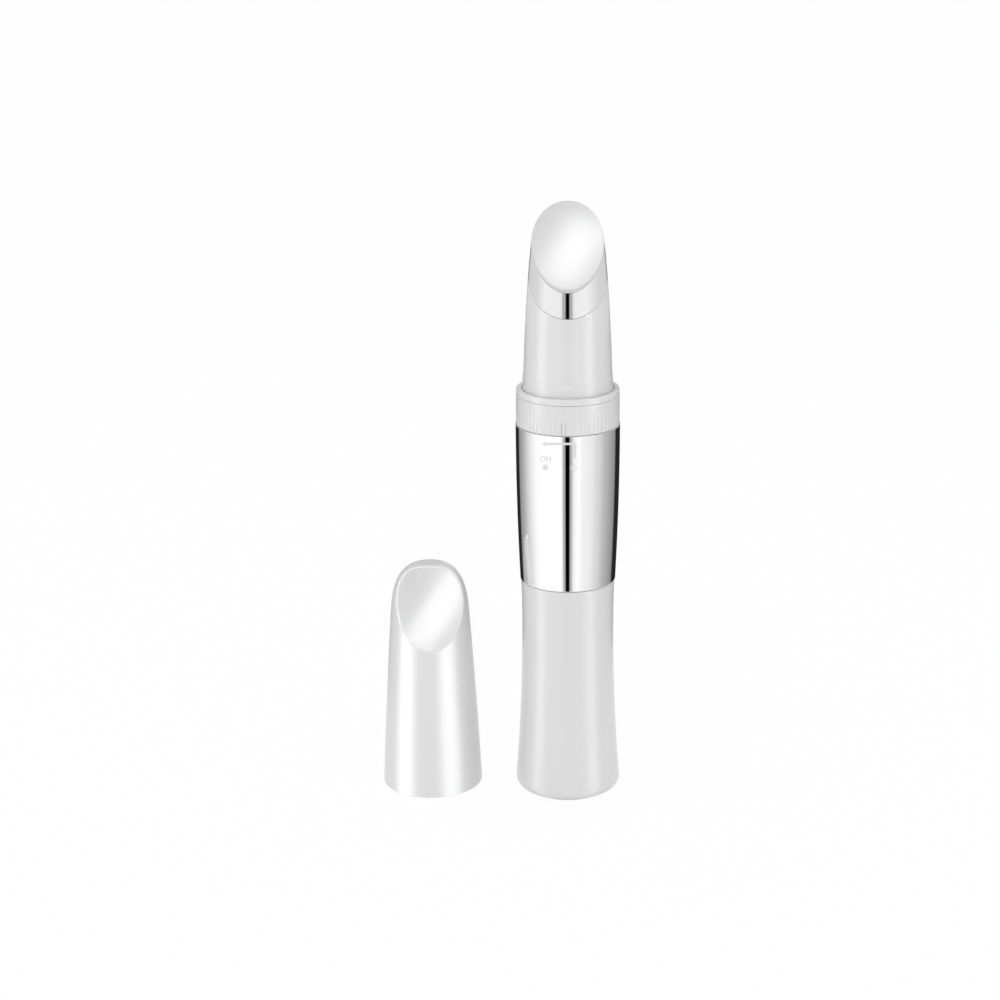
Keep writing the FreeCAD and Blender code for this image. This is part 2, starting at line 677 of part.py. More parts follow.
def collar_rim():
    """The smooth rim above the ring, held down by its web."""
    web_hole_r = NECK_BORE_R - RIM_WEB_MARGIN
    skin_inner_r = RIM_R - RIM_SKIN
    return lathe(
        (web_hole_r, NECK_TOP),
        ((RIM_R, NECK_TOP),),
        ((RIM_R, RIM_TOP - RIM_EDGE),),
        ((RIM_R, RIM_TOP), (RIM_R - RIM_EDGE, RIM_TOP)),
        ((skin_inner_r, RIM_TOP),),
        ((skin_inner_r, WEB_TOP),),
        ((web_hole_r, WEB_TOP),),
    )


def nose_cone():
    """The white nose, with its band, two snap beads and an oblique top."""
    band = rod(BAND_R, WEB_TOP, BAND_TOP).fuse(rod(NOSE_START_R, BAND_TOP, NOSE_START_Z))
    outer = band.fuse(nose_solid(0)).removeSplitter()
    bore = rod(NOSE_START_R - NOSE_WALL, WEB_TOP, NOSE_START_Z)
    inner = bore.fuse(nose_solid(NOSE_WALL)).removeSplitter()
    bead_z = BAND_TOP - BEAD_DROP
    bead_y = -math.sqrt(BAND_R ** 2 - (BEAD_SPACING / 2) ** 2) + BEAD_R - BEAD_RISE
    beads = [
        Part.makeSphere(BEAD_R, Vector(x, bead_y, bead_z)) for x in across(BEAD_SPACING)
    ]
    return outer.fuse(beads).cut([inner, above(NOSE_CUT_Z, NOSE_CUT_SLOPE)])


def massage_head():
    """The chrome head: it goes on from the nose's outer line and has a tongue inside it."""
    visible = nose_solid(0).common(above(NOSE_CUT_Z, NOSE_CUT_SLOPE, SEAM))
    tongue_bottom = NOSE_START_Z + TONGUE_BOTTOM_HEIGHT
    tongue = nose_solid(TONGUE_INSET).common(above(tongue_bottom, 0.0))
    return visible.fuse(tongue).common(face_dome(WARM_PLATE)).cut(nose_solid(HOLLOW_INSET))


def warming_plate():
    """The domed plate that covers the head's cut end."""
    return face_layer(nose_solid(0), WARM_PLATE, 0.0)


def heater_film():
    """The heating film under the plate."""
    return face_layer(nose_solid(HOLLOW_INSET + SEAM), FILM_BOTTOM, WARM_PLATE)


def sensor_rod(grow=0.0):
    """The round of the temperature sensor, run on up to the plane on the domed face."""
    bottom = FILM_BOTTOM + THERMISTOR_LENGTH + grow
    return on_plane(rod(THERMISTOR_R + grow, -bottom, 0), FACE_Z, FACE_SLOPE)


def thermistor():
    """The temperature sensor, which lies against the film's underside."""
    return sensor_rod().common(face_dome(FILM_BOTTOM))


def insulator_pad():
    """The foam pad that keeps the warmth off the motor."""
    pad = face_layer(nose_solid(HOLLOW_INSET + SEAM), PAD_BOTTOM, FILM_BOTTOM)
    holes = [
        rod(LEAD_HOLE_R, MOTOR_TOP, HEATER_LEAD_TOP, x, HEATER_LEAD_Y)
        for x in (-HEATER_LEAD_X, HEATER_LEAD_X)
    ]
    return pad.cut([sensor_rod(SEAM)] + holes)


# --- Carrier, motor and leads ---

def head_carrier():
    """The disc with the motor's tower, screwed down through the neck."""
    disc = rod(CARRIER_R, WEB_TOP, CARRIER_TOP)
    tower = tube(TOWER_R, TOWER_BORE_R, CARRIER_TOP, CARRIER_TOP + TOWER_HEIGHT)
    cuts = [
        rod(SCREW_R + SEAM, WEB_TOP, CARRIER_TOP, x, SCREW_Y) for x in (-SCREW_X, SCREW_X)
    ]
    cuts.append(lead_window(MOTOR_LEAD_X, MOTOR_LEAD_Y, WEB_TOP, CARRIER_TOP))
    cuts.append(block(
        across(2 * (HEATER_LEAD_X + LEAD_R + WINDOW_MARGIN)),
        (TOWER_R, HEATER_LEAD_Y + LEAD_R + WINDOW_MARGIN),
        (WEB_TOP, CARRIER_TOP),
    ))
    return disc.fuse(tower).removeSplitter().cut(cuts)


def motor_sleeve():
    """The rubber sleeve round the motor."""
    top = CARRIER_TOP + TOWER_HEIGHT + SLEEVE_OVERHANG
    return tube(MOTOR_SLEEVE_R, MOTOR_R + SEAM, MOTOR_BOTTOM, top)


def motor_can():
    """The vibration motor's can, bored for its shaft."""
    bore = rod(SHAFT_R + TURN_FIT, MOTOR_TOP - SHAFT_SUNK - TURN_FIT, MOTOR_TOP)
    return rod(MOTOR_R, MOTOR_BOTTOM, MOTOR_TOP).cut(bore)


def motor_shaft():
    """The motor's shaft."""
    return rod(SHAFT_R, MOTOR_TOP - SHAFT_SUNK, WEIGHT_TOP + SHAFT_END)


def eccentric_weight():
    """The half-round weight on the shaft, heavy side to the front."""
    half = rod(WEIGHT_R, WEIGHT_BOTTOM, WEIGHT_TOP).common(
        block(across(REACH), (-REACH, 0), (WEIGHT_BOTTOM, WEIGHT_TOP))
    )
    hub = rod(WEIGHT_HUB_R, WEIGHT_BOTTOM, WEIGHT_TOP)
    bore = rod(SHAFT_R + SEAM, WEIGHT_BOTTOM, WEIGHT_TOP)
    return half.fuse(hub).removeSplitter().cut(bore)


def neck_screws():
    """The two long screws from the carrier through the core into the holder's posts."""
    screws = []
    for x in (-SCREW_X, SCREW_X):
        shank = rod(SCREW_R, PLATE_BOTTOM - SCREW_GRIP, CARRIER_TOP, x, SCREW_Y)
        head_top = CARRIER_TOP + SCREW_HEAD_HEIGHT
        head = rod(SCREW_HEAD_R, CARRIER_TOP, head_top, x, SCREW_Y)
        slot = block(
            (x - SCREW_HEAD_R, x + SCREW_HEAD_R),
            (SCREW_Y - SCREW_SLOT_WIDTH / 2, SCREW_Y + SCREW_SLOT_WIDTH / 2),
            (head_top - SCREW_SLOT_DEPTH, head_top),
        )
        screws.append(shank.fuse(head).removeSplitter().cut(slot))
    return Part.makeCompound(screws)


def motor_leads():
    """The two leads from the board's back up to the motor."""
    height = BOARD_TOP - MOTOR_LEAD_DROP
    return Part.makeCompound([
        lead(
            Vector(x, BOARD_Y, height),
            Vector(x, MOTOR_LEAD_Y, height),
            Vector(x, MOTOR_LEAD_Y, MOTOR_BOTTOM - LEAD_END_GAP),
            MOTOR_LEAD_BEND,
        )
        for x in (-MOTOR_LEAD_X, MOTOR_LEAD_X)
    ])


def heater_leads():
    """The two leads from the board's back past the motor, trimmed to the heating film."""
    height = BOARD_TOP - HEATER_LEAD_DROP
    film = face_dome(FILM_BOTTOM + LEAD_END_GAP)
    return Part.makeCompound([
        lead(
            Vector(x, BOARD_Y, height),
            Vector(x, HEATER_LEAD_Y, height),
            Vector(x, HEATER_LEAD_Y, HEATER_LEAD_TOP),
            HEATER_LEAD_BEND,
        ).common(film)
        for x in (-HEATER_LEAD_X, HEATER_LEAD_X)
    ])


# --- Cap ---

def cap_shell():
    """The glossy cap, with a dished oblique face and a mouth that fits the nose band."""
    outer = lathe(
        (0, 0),
        ((CAP_R - CAP_EDGE, 0),),
        ((CAP_R, 0), (CAP_R, CAP_EDGE)),
        ((CAP_PULL_R, CAP_PULL_Z), (CAP_SHOULDER_R, CAP_SHOULDER_Z)),
        ((CAP_CROWN_PULL_R, CAP_HEIGHT), (CAP_CROWN_R, CAP_HEIGHT)),
        ((0, CAP_HEIGHT),),
    )
    inner_top = CAP_HEIGHT - CAP_WALL
    inner = lathe(
        (0, 0),
        ((CAP_MOUTH_R, 0),),
        ((CAP_MOUTH_R, CAP_MOUTH_DEPTH),),
        ((CAP_PULL_R - CAP_WALL, CAP_PULL_Z), (CAP_SHOULDER_R - CAP_WALL, CAP_SHOULDER_Z)),
        ((CAP_CROWN_PULL_R - CAP_WALL, inner_top), (CAP_CROWN_R - CAP_WALL, inner_top)),
        ((0, inner_top),),
    )
    dish, inner_dish = (
        dished(
            CAP_DISH_R + wall, CAP_DISH_DEPTH + wall, CAP_DISH_SHIFT, CAP_FACE_Z, CAP_FACE_SLOPE
        )
        for wall in (0, CAP_WALL)
    )
    shell = outer.cut([dish, inner.cut(inner_dish)])
    shell.rotate(ORIGIN, UP, CAP_TURN)
    shell.translate(Vector(CAP_X, CAP_Y, 0))
    return shell


PIECES = (
    handle_shell, base_foot, ground_strip, negative_spring,
    battery_cell, battery_holder, positive_contact, contact_leaf,
    circuit_board, power_inductor, capacitors, control_chips,
    barrel_sleeve, body_core, body_o_ring,
    switch_wafer, switch_pins, switch_ring, switch_wiper,
    collar_rim, nose_cone, massage_head, warming_plate, heater_film, thermistor, insulator_pad,
    head_carrier, motor_sleeve, motor_can, motor_shaft, eccentric_weight, neck_screws,
    motor_leads, heater_leads,
    cap_shell,
)


def main():
    """Write each piece to its own STEP file, named after its function."""
    os.makedirs("parts", exist_ok=True)
    for piece in PIECES:
        shape = piece()
        shape.exportStep(os.path.join("parts", piece.__name__ + ".step"))
        print(f"{piece.__name__}: {len(shape.Solids)} solid(s), {shape.Volume:.1f} mm3")


main()
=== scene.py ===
"""Shapes, finishes, studio and camera of a heated massage wand with its cap beside it.

Sizes in the classes are millimetres and degrees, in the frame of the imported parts: x to the
right, y to the back, z up from the surface that the wand stands on. The studio's are metres.
"""

import json
import logging
import math
from dataclasses import dataclass, field, replace
from enum import Enum
from functools import lru_cache
from typing import Any, Callable, Protocol

import bmesh
import bpy
from mathutils import Matrix, Vector

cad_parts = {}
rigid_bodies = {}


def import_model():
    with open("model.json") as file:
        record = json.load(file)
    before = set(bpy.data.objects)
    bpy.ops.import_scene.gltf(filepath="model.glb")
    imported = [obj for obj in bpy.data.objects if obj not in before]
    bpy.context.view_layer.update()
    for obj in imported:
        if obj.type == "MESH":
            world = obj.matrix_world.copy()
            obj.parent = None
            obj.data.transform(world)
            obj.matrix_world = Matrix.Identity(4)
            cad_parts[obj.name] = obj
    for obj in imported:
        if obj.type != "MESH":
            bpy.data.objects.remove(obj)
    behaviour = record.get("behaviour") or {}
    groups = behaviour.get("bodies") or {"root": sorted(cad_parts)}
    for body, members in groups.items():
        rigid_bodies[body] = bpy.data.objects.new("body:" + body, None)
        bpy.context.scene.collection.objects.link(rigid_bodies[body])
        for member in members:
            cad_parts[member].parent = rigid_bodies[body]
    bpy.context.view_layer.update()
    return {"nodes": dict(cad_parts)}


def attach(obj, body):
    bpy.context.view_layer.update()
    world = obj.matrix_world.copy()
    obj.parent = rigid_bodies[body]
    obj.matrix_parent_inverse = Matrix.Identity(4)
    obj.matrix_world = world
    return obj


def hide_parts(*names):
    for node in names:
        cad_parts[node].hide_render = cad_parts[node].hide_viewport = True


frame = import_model()

LOG = logging.getLogger("wand")
MM = 0.001
FULL_TURN = 2 * math.pi
TURN_STEPS = 192                 # faces round a turned piece
BOW_STEPS = 20                   # runs along a bow of an outline
CORNER_STEPS = 5                 # runs along a small rounding
CLIMB_ROUNDS = 30                # halvings when a line is followed to a surface
ANGLE_DIGITS = 5                 # to which a corner's angle is rounded, in radians
MERGE_GAP = 0.0001               # under which two corners of a turned piece are one
SHARP_ANGLE = 32.0               # over which an edge is rounded
HALFWAY = 0.5                    # up a unit shape
NOISE_MIDDLE = 0.5
RAMP_FRONT = 0.5                 # the front's place on the ramp of a tent's brightness
FULL_DEGREES = 360
SEAM = 0.05                      # gap between two fitted pieces
BUMP_STRENGTH = 0.3
BUMP_HEIGHT = 0.00005            # metres
WHITE = (1.0, 1.0, 1.0, 1.0)
MIX_INPUTS = (0, 6, 7)           # a colour Mix node's share and its two colours
MIX_RESULT = 2

Point2 = tuple[float, float]
Point3 = tuple[float, float, float]
Colour = tuple[float, float, float]
Tree = bpy.types.NodeTree
Socket = bpy.types.NodeSocket
Mesh = bmesh.types.BMesh


class Body(Enum):
    """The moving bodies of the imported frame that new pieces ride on."""

    HANDLE = "handle"
    UPPER = "upper_unit"
    RING = "switch_ring_body"
    CAP = "cap"


class Form(Enum):
    """On which side of a rounded face the centre of its ball lies."""

    HOLLOW = 1
    CROWNED = -1


# --- Node trees ---

def add_node(
    tree: Tree, kind: str, inputs: dict[str | int, Any] | None = None, **settings: Any
) -> bpy.types.Node:
    """Add a node, set it up and feed it.

    Args:
        tree: The material's, group's or world's tree.
        kind: The node's type name.
        inputs: Per input, a value, or the output socket that is linked to it.
        **settings: Attributes of the node itself.

    Returns:
        The new node.
    """
    node = tree.nodes.new(kind)
    for name, value in settings.items():
        setattr(node, name, value)
    for name, value in (inputs or {}).items():
        if isinstance(value, Socket):
            tree.links.new(value, node.inputs[name])
        else:
            node.inputs[name].default_value = value
    return node


def calculate(tree: Tree, operation: str, *values: Any) -> Socket:
    """Add a Math node, fed with numbers or sockets in order, and give its result."""
    inputs = dict(enumerate(values))
    return add_node(tree, "ShaderNodeMath", inputs, operation=operation).outputs[0]


def blend_colours(tree: Tree, share: Socket, first: Any, second: Any) -> Socket:
    """Mix two colours.

    Args:
        tree: The tree that the Mix node goes into.
        share: How much of the second colour shows.
        first: A colour or socket.
        second: A colour or socket.

    Returns:
        The mixed colour.
    """
    first, second = (
        (*colour, 1.0) if isinstance(colour, tuple) else colour for colour in (first, second)
    )
    inputs = dict(zip(MIX_INPUTS, (share, first, second)))
    return add_node(tree, "ShaderNodeMix", inputs, data_type="RGBA").outputs[MIX_RESULT]


def noise_group(
    name: str,
    extra: dict[str, str],
    result: tuple[str, str],
    settings: dict[str, float],
    make: Callable[[Tree, Any, Socket], Socket],
) -> Tree:
    """Give a group that makes one output of a noise, built the first time it is asked for.

    Args:
        name: The group's name.
        extra: Its inputs after Vector and Scale, each with its socket kind.
        result: Its output, with its socket kind.
        settings: Values of the noise's own inputs.
        make: Makes the output from the group, its inputs and the noise.

    Returns:
        The group.
    """
    if name in bpy.data.node_groups:
        return bpy.data.node_groups[name]
    group = bpy.data.node_groups.new(name, "ShaderNodeTree")
    sockets = [("INPUT", "Vector", "Vector"), ("INPUT", "Scale", "Float")]
    sockets += [("INPUT", label, kind) for label, kind in extra.items()]
    sockets.append(("OUTPUT", *result))
    for direction, label, kind in sockets:
        group.interface.new_socket(label, in_out=direction, socket_type=f"NodeSocket{kind}")
    given = add_node(group, "NodeGroupInput").outputs
    inputs = {"Vector": given["Vector"], "Scale": given["Scale"], **settings}
    noise = add_node(group, "ShaderNodeTexNoise", inputs).outputs["Fac"]
    add_node(group, "NodeGroupOutput", {result[0]: make(group, given, noise)})
    return group


def swing(tree: Tree, noise: Socket, amount: Socket) -> Socket:
    """Centre a noise on zero and give it its swing."""
    centred = calculate(tree, "SUBTRACT", noise, NOISE_MIDDLE)
    return calculate(tree, "MULTIPLY", centred, amount)


def mould_grain_group() -> Tree:
    """Give the group that makes a fine spark-eroded grain, as a height."""
    def grain(group: Tree, given: Any, noise: Socket) -> Socket:
        """Give the noise its depth."""
        return calculate(group, "MULTIPLY", noise, given["Depth"])

    return noise_group(
        "mould_grain", {"Depth": "Float"}, ("Height", "Float"), {"Detail": 3.0}, grain
    )


def handling_group() -> Tree:
    """Give the group for the soft cloudiness that handling leaves, as a roughness."""
    def cloud(group: Tree, given: Any, noise: Socket) -> Socket:
        """Let the roughness swing about its base."""
        return calculate(group, "ADD", given["Base"], swing(group, noise, given["Amount"]))

    return noise_group(
        "handling_marks", {"Base": "Float", "Amount": "Float"}, ("Roughness", "Float"),
        {"Detail": 5.0, "Distortion": 0.6}, cloud,
    )


def tone_group() -> Tree:
    """Give the group that lets a colour drift a little over a surface."""
    def drift(group: Tree, given: Any, noise: Socket) -> Socket:
        """Let the colour's lightness swing."""
        value = calculate(group, "ADD", swing(group, noise, given["Amount"]), 1.0)
        inputs = {"Color": given["Colour"], "Value": value}
        return add_node(group, "ShaderNodeHueSaturation", inputs).outputs["Color"]

    return noise_group(
        "tone_drift", {"Colour": "Color", "Amount": "Float"}, ("Colour", "Color"),
        {"Detail": 2.0}, drift,
    )


def use_group(tree: Tree, group: Tree, inputs: dict[str, Any]) -> Socket:
    """Put a group into a material, feed it, and give its only output."""
    return add_node(tree, "ShaderNodeGroup", inputs, node_tree=group).outputs[0]


def blank_material(name: str) -> bpy.types.Material:
    """Make a material with an empty tree.

    Args:
        name: Its name.

    Returns:
        The material.
    """
    material = bpy.data.materials.new(name)
    material.use_nodes = True
    material.node_tree.nodes.clear()
    return material


# --- Finishes ---

@dataclass(frozen=True)
class Finish:
    """A finish with one base colour, a fine grain and a little cloudiness."""

    name: str
    colour: Colour
    roughness: float = 0.4
    metallic: float = 0.0
    coat: float = 0.0
    coat_roughness: float = 0.08
    sheen: float = 0.0
    cloud: float = 0.06              # swing of the roughness
    cloud_scale: float = 70.0
    tone: float = 0.02               # swing of the lightness
    tone_scale: float = 60.0
    grain: float = 0.12              # height of the grain, 0 for a polished surface
    grain_scale: float = 2600.0

    def base_colour(self, tree: Tree, where: Socket) -> Socket:
        """Make the colour, which drifts a little.

        Args:
            tree: The material's tree.
            where: The object coordinates.

        Returns:
            The colour.
        """
        return use_group(tree, tone_group(), {
            "Vector": where, "Scale": self.tone_scale,
            "Colour": (*self.colour, 1.0), "Amount": self.tone,
        })

    def relief(self, tree: Tree, where: Socket) -> Socket | None:
        """Make the height of the surface's fine relief.

        Args:
            tree: The material's tree.
            where: The object coordinates.

        Returns:
            The height, or None for a polished surface.
        """
        if not self.grain:
            return None
        return use_group(tree, mould_grain_group(), {
            "Vector": where, "Scale": self.grain_scale, "Depth": self.grain,
        })

    def material(self) -> bpy.types.Material:
        """Give the finish's material, built the first time that it is asked for."""
        name = f"finish_{self.name}"
        if name in bpy.data.materials:
            return bpy.data.materials[name]
        material = blank_material(name)
        tree = material.node_tree
        where = add_node(tree, "ShaderNodeTexCoord").outputs["Object"]
        rough = use_group(tree, handling_group(), {
            "Vector": where, "Scale": self.cloud_scale,
            "Base": self.roughness, "Amount": self.cloud,
        })
        shader = add_node(tree, "ShaderNodeBsdfPrincipled", {
            "Base Color": self.base_colour(tree, where),
            "Roughness": rough,
            "Metallic": self.metallic,
            "Coat Weight": self.coat,
            "Coat Roughness": self.coat_roughness,
            "Sheen Weight": self.sheen,
        })
        height = self.relief(tree, where)
        if height is not None:
            inputs = {"Height": height, "Strength": BUMP_STRENGTH, "Distance": BUMP_HEIGHT}
            bump = add_node(tree, "ShaderNodeBump", inputs)
            tree.links.new(bump.outputs["Normal"], shader.inputs["Normal"])
        add_node(tree, "ShaderNodeOutputMaterial", {"Surface": shader.outputs["BSDF"]})
        return material


def coordinate(tree: Tree, where: Socket, axis: str) -> Socket:
    """Give one object coordinate, in millimetres."""
    split = add_node(tree, "ShaderNodeSeparateXYZ", {"Vector": where})
    return calculate(tree, "MULTIPLY", split.outputs[axis], 1 / MM)


@dataclass(frozen=True)
class DrawnMetal(Finish):
    """Metal drawn or turned along the wand, with fine lines along one axis."""

    across: float = 9000.0           # density of the lines
    along: float = 160.0

    def relief(self, tree: Tree, where: Socket) -> Socket | None:
        """Make the height of the drawing lines.

        Args:
            tree: The material's tree.
            where: The object coordinates.

        Returns:
            The height.
        """
        inputs = {"Vector": where, "Scale": (self.across, self.across, self.along)}
        lines = add_node(tree, "ShaderNodeMapping", inputs).outputs["Vector"]
        return use_group(tree, mould_grain_group(), {
            "Vector": lines, "Scale": 1.0, "Depth": self.grain,
        })


@dataclass(frozen=True)
class CellJacket(Finish):
    """The printed sleeve of a round cell: a band at the top, and bare metal at its ends."""

    band_colour: Colour = (0.62, 0.35, 0.1)
    metal_colour: Colour = (0.72, 0.72, 0.74)
    band_bottom: float = 45.0
    jacket_bottom: float = 8.2
    jacket_top: float = 58.2

    def base_colour(self, tree: Tree, where: Socket) -> Socket:
        """Make the sleeve's colours by height.

        Args:
            tree: The material's tree.
            where: The object coordinates.

        Returns:
            The colour.
        """
        height = coordinate(tree, where, "Z")
        in_band = calculate(tree, "GREATER_THAN", height, self.band_bottom)
        colour = blend_colours(tree, in_band, self.colour, self.band_colour)
        over_top = calculate(tree, "GREATER_THAN", height, self.jacket_top)
        under = calculate(tree, "LESS_THAN", height, self.jacket_bottom)
        bare = calculate(tree, "MAXIMUM", over_top, under)
        return blend_colours(tree, bare, colour, self.metal_colour)


@dataclass(frozen=True)
class CircuitBoard(Finish):
    """Solder mask over copper tracks, with bare pads between them."""

    track_colour: Colour = (0.08, 0.42, 0.2)
    pad_colour: Colour = (0.8, 0.72, 0.5)
    track_scale: float = 900.0
    track_width: float = 0.12
    pad_scale: float = 620.0
    pad_size: float = 0.22

    def base_colour(self, tree: Tree, where: Socket) -> Socket:
        """Make the mask's colour, lighter over the tracks, and the pads.

        Args:
            tree: The material's tree.
            where: The object coordinates.

        Returns:
            The colour.
        """
        cells = add_node(
            tree, "ShaderNodeTexVoronoi", {"Vector": where, "Scale": self.track_scale},
            feature="DISTANCE_TO_EDGE", distance="CHEBYCHEV",
        )
        track = calculate(tree, "LESS_THAN", cells.outputs["Distance"], self.track_width)
        colour = blend_colours(tree, track, self.colour, self.track_colour)
        inputs = {"Vector": where, "Scale": self.pad_scale}
        dots = add_node(tree, "ShaderNodeTexVoronoi", inputs)
        pad = calculate(tree, "LESS_THAN", dots.outputs["Distance"], self.pad_size)
        return blend_colours(tree, pad, colour, self.pad_colour)


@dataclass(frozen=True)
class HeaterFilm(Finish):
    """Amber film with the darker line of the heating track in it."""

    track_colour: Colour = (0.3, 0.13, 0.04)
    track_pitch: float = 1.1
    track_share: float = 0.35

    def base_colour(self, tree: Tree, where: Socket) -> Socket:
        """Make the film's colour with the track's parallel runs.

        Args:
            tree: The material's tree.
            where: The object coordinates.

        Returns:
            The colour.
        """
        runs = calculate(tree, "DIVIDE", coordinate(tree, where, "X"), self.track_pitch)
        place = calculate(tree, "FRACT", runs)
        track = calculate(tree, "LESS_THAN", place, self.track_share)
        return blend_colours(tree, track, self.colour, self.track_colour)


@dataclass(frozen=True)
class Foam(Finish):
    """Closed-cell foam with visible pores."""

    pore_scale: float = 1500.0
    pore_depth: float = 4.0

    def relief(self, tree: Tree, where: Socket) -> Socket | None:
        """Make the height of the pores.

        Args:
            tree: The material's tree.
            where: The object coordinates.

        Returns:
            The height.
        """
        inputs = {"Vector": where, "Scale": self.pore_scale}
        pores = add_node(tree, "ShaderNodeTexVoronoi", inputs)
        return calculate(tree, "MULTIPLY", pores.outputs["Distance"], self.pore_depth)


GRIP_WHITE = Finish("grip_white", (0.72, 0.72, 0.725), roughness=0.3, grain=0.06)
GLOSS_WHITE = Finish(
    "gloss_white", (0.73, 0.73, 0.735), roughness=0.28, grain=0.0, cloud=0.03
)
# The snap beads are the nose's gloss white painted lighter: a painted highlight that makes
# them show as two bright dots.
BEAD_PAINTED_HIGHLIGHT = replace(GLOSS_WHITE, name="bead_painted_highlight", colour=(0.9, 0.9, 0.9))
RING_WHITE = Finish("ring_white", (0.72, 0.72, 0.725), roughness=0.3, grain=0.1)
CAP_WHITE = Finish("cap_white", (0.7, 0.7, 0.705), roughness=0.36, grain=0.0, cloud=0.03)
CAP_FACE_WHITE = replace(CAP_WHITE, name="cap_face_white", roughness=0.24)
CHROME = Finish(
    "chrome_plate", (0.93, 0.93, 0.94), roughness=0.035, metallic=1.0,
    cloud=0.012, cloud_scale=45.0, tone=0.01, grain=0.0,
)
WARM_GLAZE = Finish("warm_glaze", (0.6, 0.6, 0.605), roughness=0.24, grain=0.03, cloud=0.04)
MARK_GREY = Finish("mark_grey", (0.72, 0.72, 0.73), roughness=0.55, grain=0.05)
INDEX_GREY = Finish("index_grey", (0.5, 0.5, 0.51), roughness=0.6, grain=0.05)
FOOT_GREY = Finish("foot_grey", (0.6, 0.6, 0.62), roughness=0.55, grain=0.5)
CORE_GREY = Finish("core_grey", (0.72, 0.72, 0.74), roughness=0.5, grain=0.4)
HOLDER_BLACK = Finish("holder_black", (0.05, 0.05, 0.055), roughness=0.5, grain=0.4)
RUBBER = Finish("soft_rubber", (0.02, 0.02, 0.02), roughness=0.7, grain=0.6, sheen=0.1)
CONTACT = DrawnMetal(
    "contact_brass", (0.78, 0.68, 0.45), roughness=0.28, metallic=1.0, grain=0.4
)
SPRING = DrawnMetal("spring_wire", (0.7, 0.7, 0.72), roughness=0.22, metallic=1.0, grain=0.2)
DRAWN_STEEL = DrawnMetal(
    "drawn_steel", (0.62, 0.63, 0.66), roughness=0.3, metallic=1.0, grain=0.5
)
SINTERED = Finish(
    "sintered_weight", (0.4, 0.4, 0.42), roughness=0.48, metallic=1.0, grain=0.8,
    grain_scale=4000.0,
)
ZINC = Finish(
    "zinc_plate", (0.68, 0.69, 0.72), roughness=0.33, metallic=1.0, grain=0.3,
    tone=0.12, tone_scale=500.0,
)
CELL = CellJacket("cell_jacket", (0.06, 0.08, 0.12), roughness=0.3, coat=0.4, grain=0.0)
BOARD = CircuitBoard("solder_mask", (0.03, 0.22, 0.1), roughness=0.35, coat=0.3, grain=0.1)
CHIP = Finish("chip_epoxy", (0.03, 0.03, 0.033), roughness=0.55, grain=0.7)
WAFER = Finish(
    "phenolic_wafer", (0.5, 0.36, 0.2), roughness=0.5, grain=0.3, tone=0.2, tone_scale=900.0
)
FILM = HeaterFilm("heater_film", (0.7, 0.4, 0.1), roughness=0.3, coat=0.4, grain=0.0)
FOAM = Foam("grey_foam", (0.32, 0.32, 0.34), roughness=0.9, sheen=0.2, grain=1.0)
LEAD_RED = Finish("lead_red", (0.55, 0.05, 0.04), roughness=0.4, grain=0.2)
LEAD_BLACK = Finish("lead_black", (0.03, 0.03, 0.03), roughness=0.42, grain=0.2)


def dress(finish: Finish, *nodes: str) -> None:
    """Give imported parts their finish.

    Args:
        finish: The finish.
        *nodes: The parts' names.
    """
    for node in nodes:
        for slot in frame["nodes"][node].material_slots:
            slot.material = finish.material()
        LOG.info("dressed %s in %s", node, finish.name)


# --- Lines and surfaces ---

@dataclass(frozen=True)
class Bow:
    """A bowed stretch of an outline: the point that pulls it, its end and its runs."""

    pull: Point2
    end: Point2
    runs: int = BOW_STEPS


@dataclass(frozen=True)
class Outline:
    """Half of a turned shape's section, as (radius, height) points and bows."""

    start: Point2
    stretches: tuple[Point2 | Bow, ...]

    def at(self, place: float) -> Point2:
        """Find a point of the outline.

        Args:
            place: The stretch's index plus the share of it that is passed.

        Returns:
            The point's radius and height.
        """
        index = min(int(place), len(self.stretches) - 1)
        share = place - index
        ends = [self.start] + [
            part.end if isinstance(part, Bow) else part for part in self.stretches
        ]
        first, last = Vector(ends[index]), Vector(ends[index + 1])
        part = self.stretches[index]
        if not isinstance(part, Bow):
            return tuple(first.lerp(last, share))
        pull = Vector(part.pull)
        return tuple(first.lerp(pull, share).lerp(pull.lerp(last, share), share))

    def inset(self, amount: float) -> "Outline":
        """Give the outline with every radius made smaller.

        Args:
            amount: By how much.

        Returns:
            The smaller outline.
        """
        def smaller(point: Point2) -> Point2:
            """Move a point towards the axis."""
            return (point[0] - amount, point[1])

        return Outline(smaller(self.start), tuple(
            Bow(smaller(part.pull), smaller(part.end), part.runs) if isinstance(part, Bow)
            else smaller(part) for part in self.stretches
        ))

    def points(self) -> list[Vector]:
        """List the outline's points, with each bow in short runs."""
        places = [0.0]
        for index, part in enumerate(self.stretches):
            runs = part.runs if isinstance(part, Bow) else 1
            places.extend(index + run / runs for run in range(1, runs + 1))
        section = [self.at(place) for place in places]
        return [Vector((radius, 0, height)) for radius, height in section]


class Surface(Protocol):
    """A surface that a turned wall can end on."""

    def height_over(self, point: Vector) -> float:
        """Tell how far a point is over the surface, negative when it is under it."""


@dataclass(frozen=True)
class Slope:
    """A plane that rises towards the back."""

    crossing: float                  # height on the axis
    slope: float
    lift: float = 0.0                # along its normal

    @property
    def turn(self) -> Matrix:
        """The rotation from the level plane to this one."""
        return Matrix.Rotation(math.atan(self.slope), 3, "X")

    def place(self, point: Vector) -> Vector:
        """Move a point from the level plane's frame to this plane's."""
        return self.turn @ point + Vector((0, 0, self.crossing))

    def height_over(self, point: Vector) -> float:
        """Tell how far a point is over the plane."""
        local = self.turn.inverted() @ (point - Vector((0, 0, self.crossing)))
        return local.z - self.lift


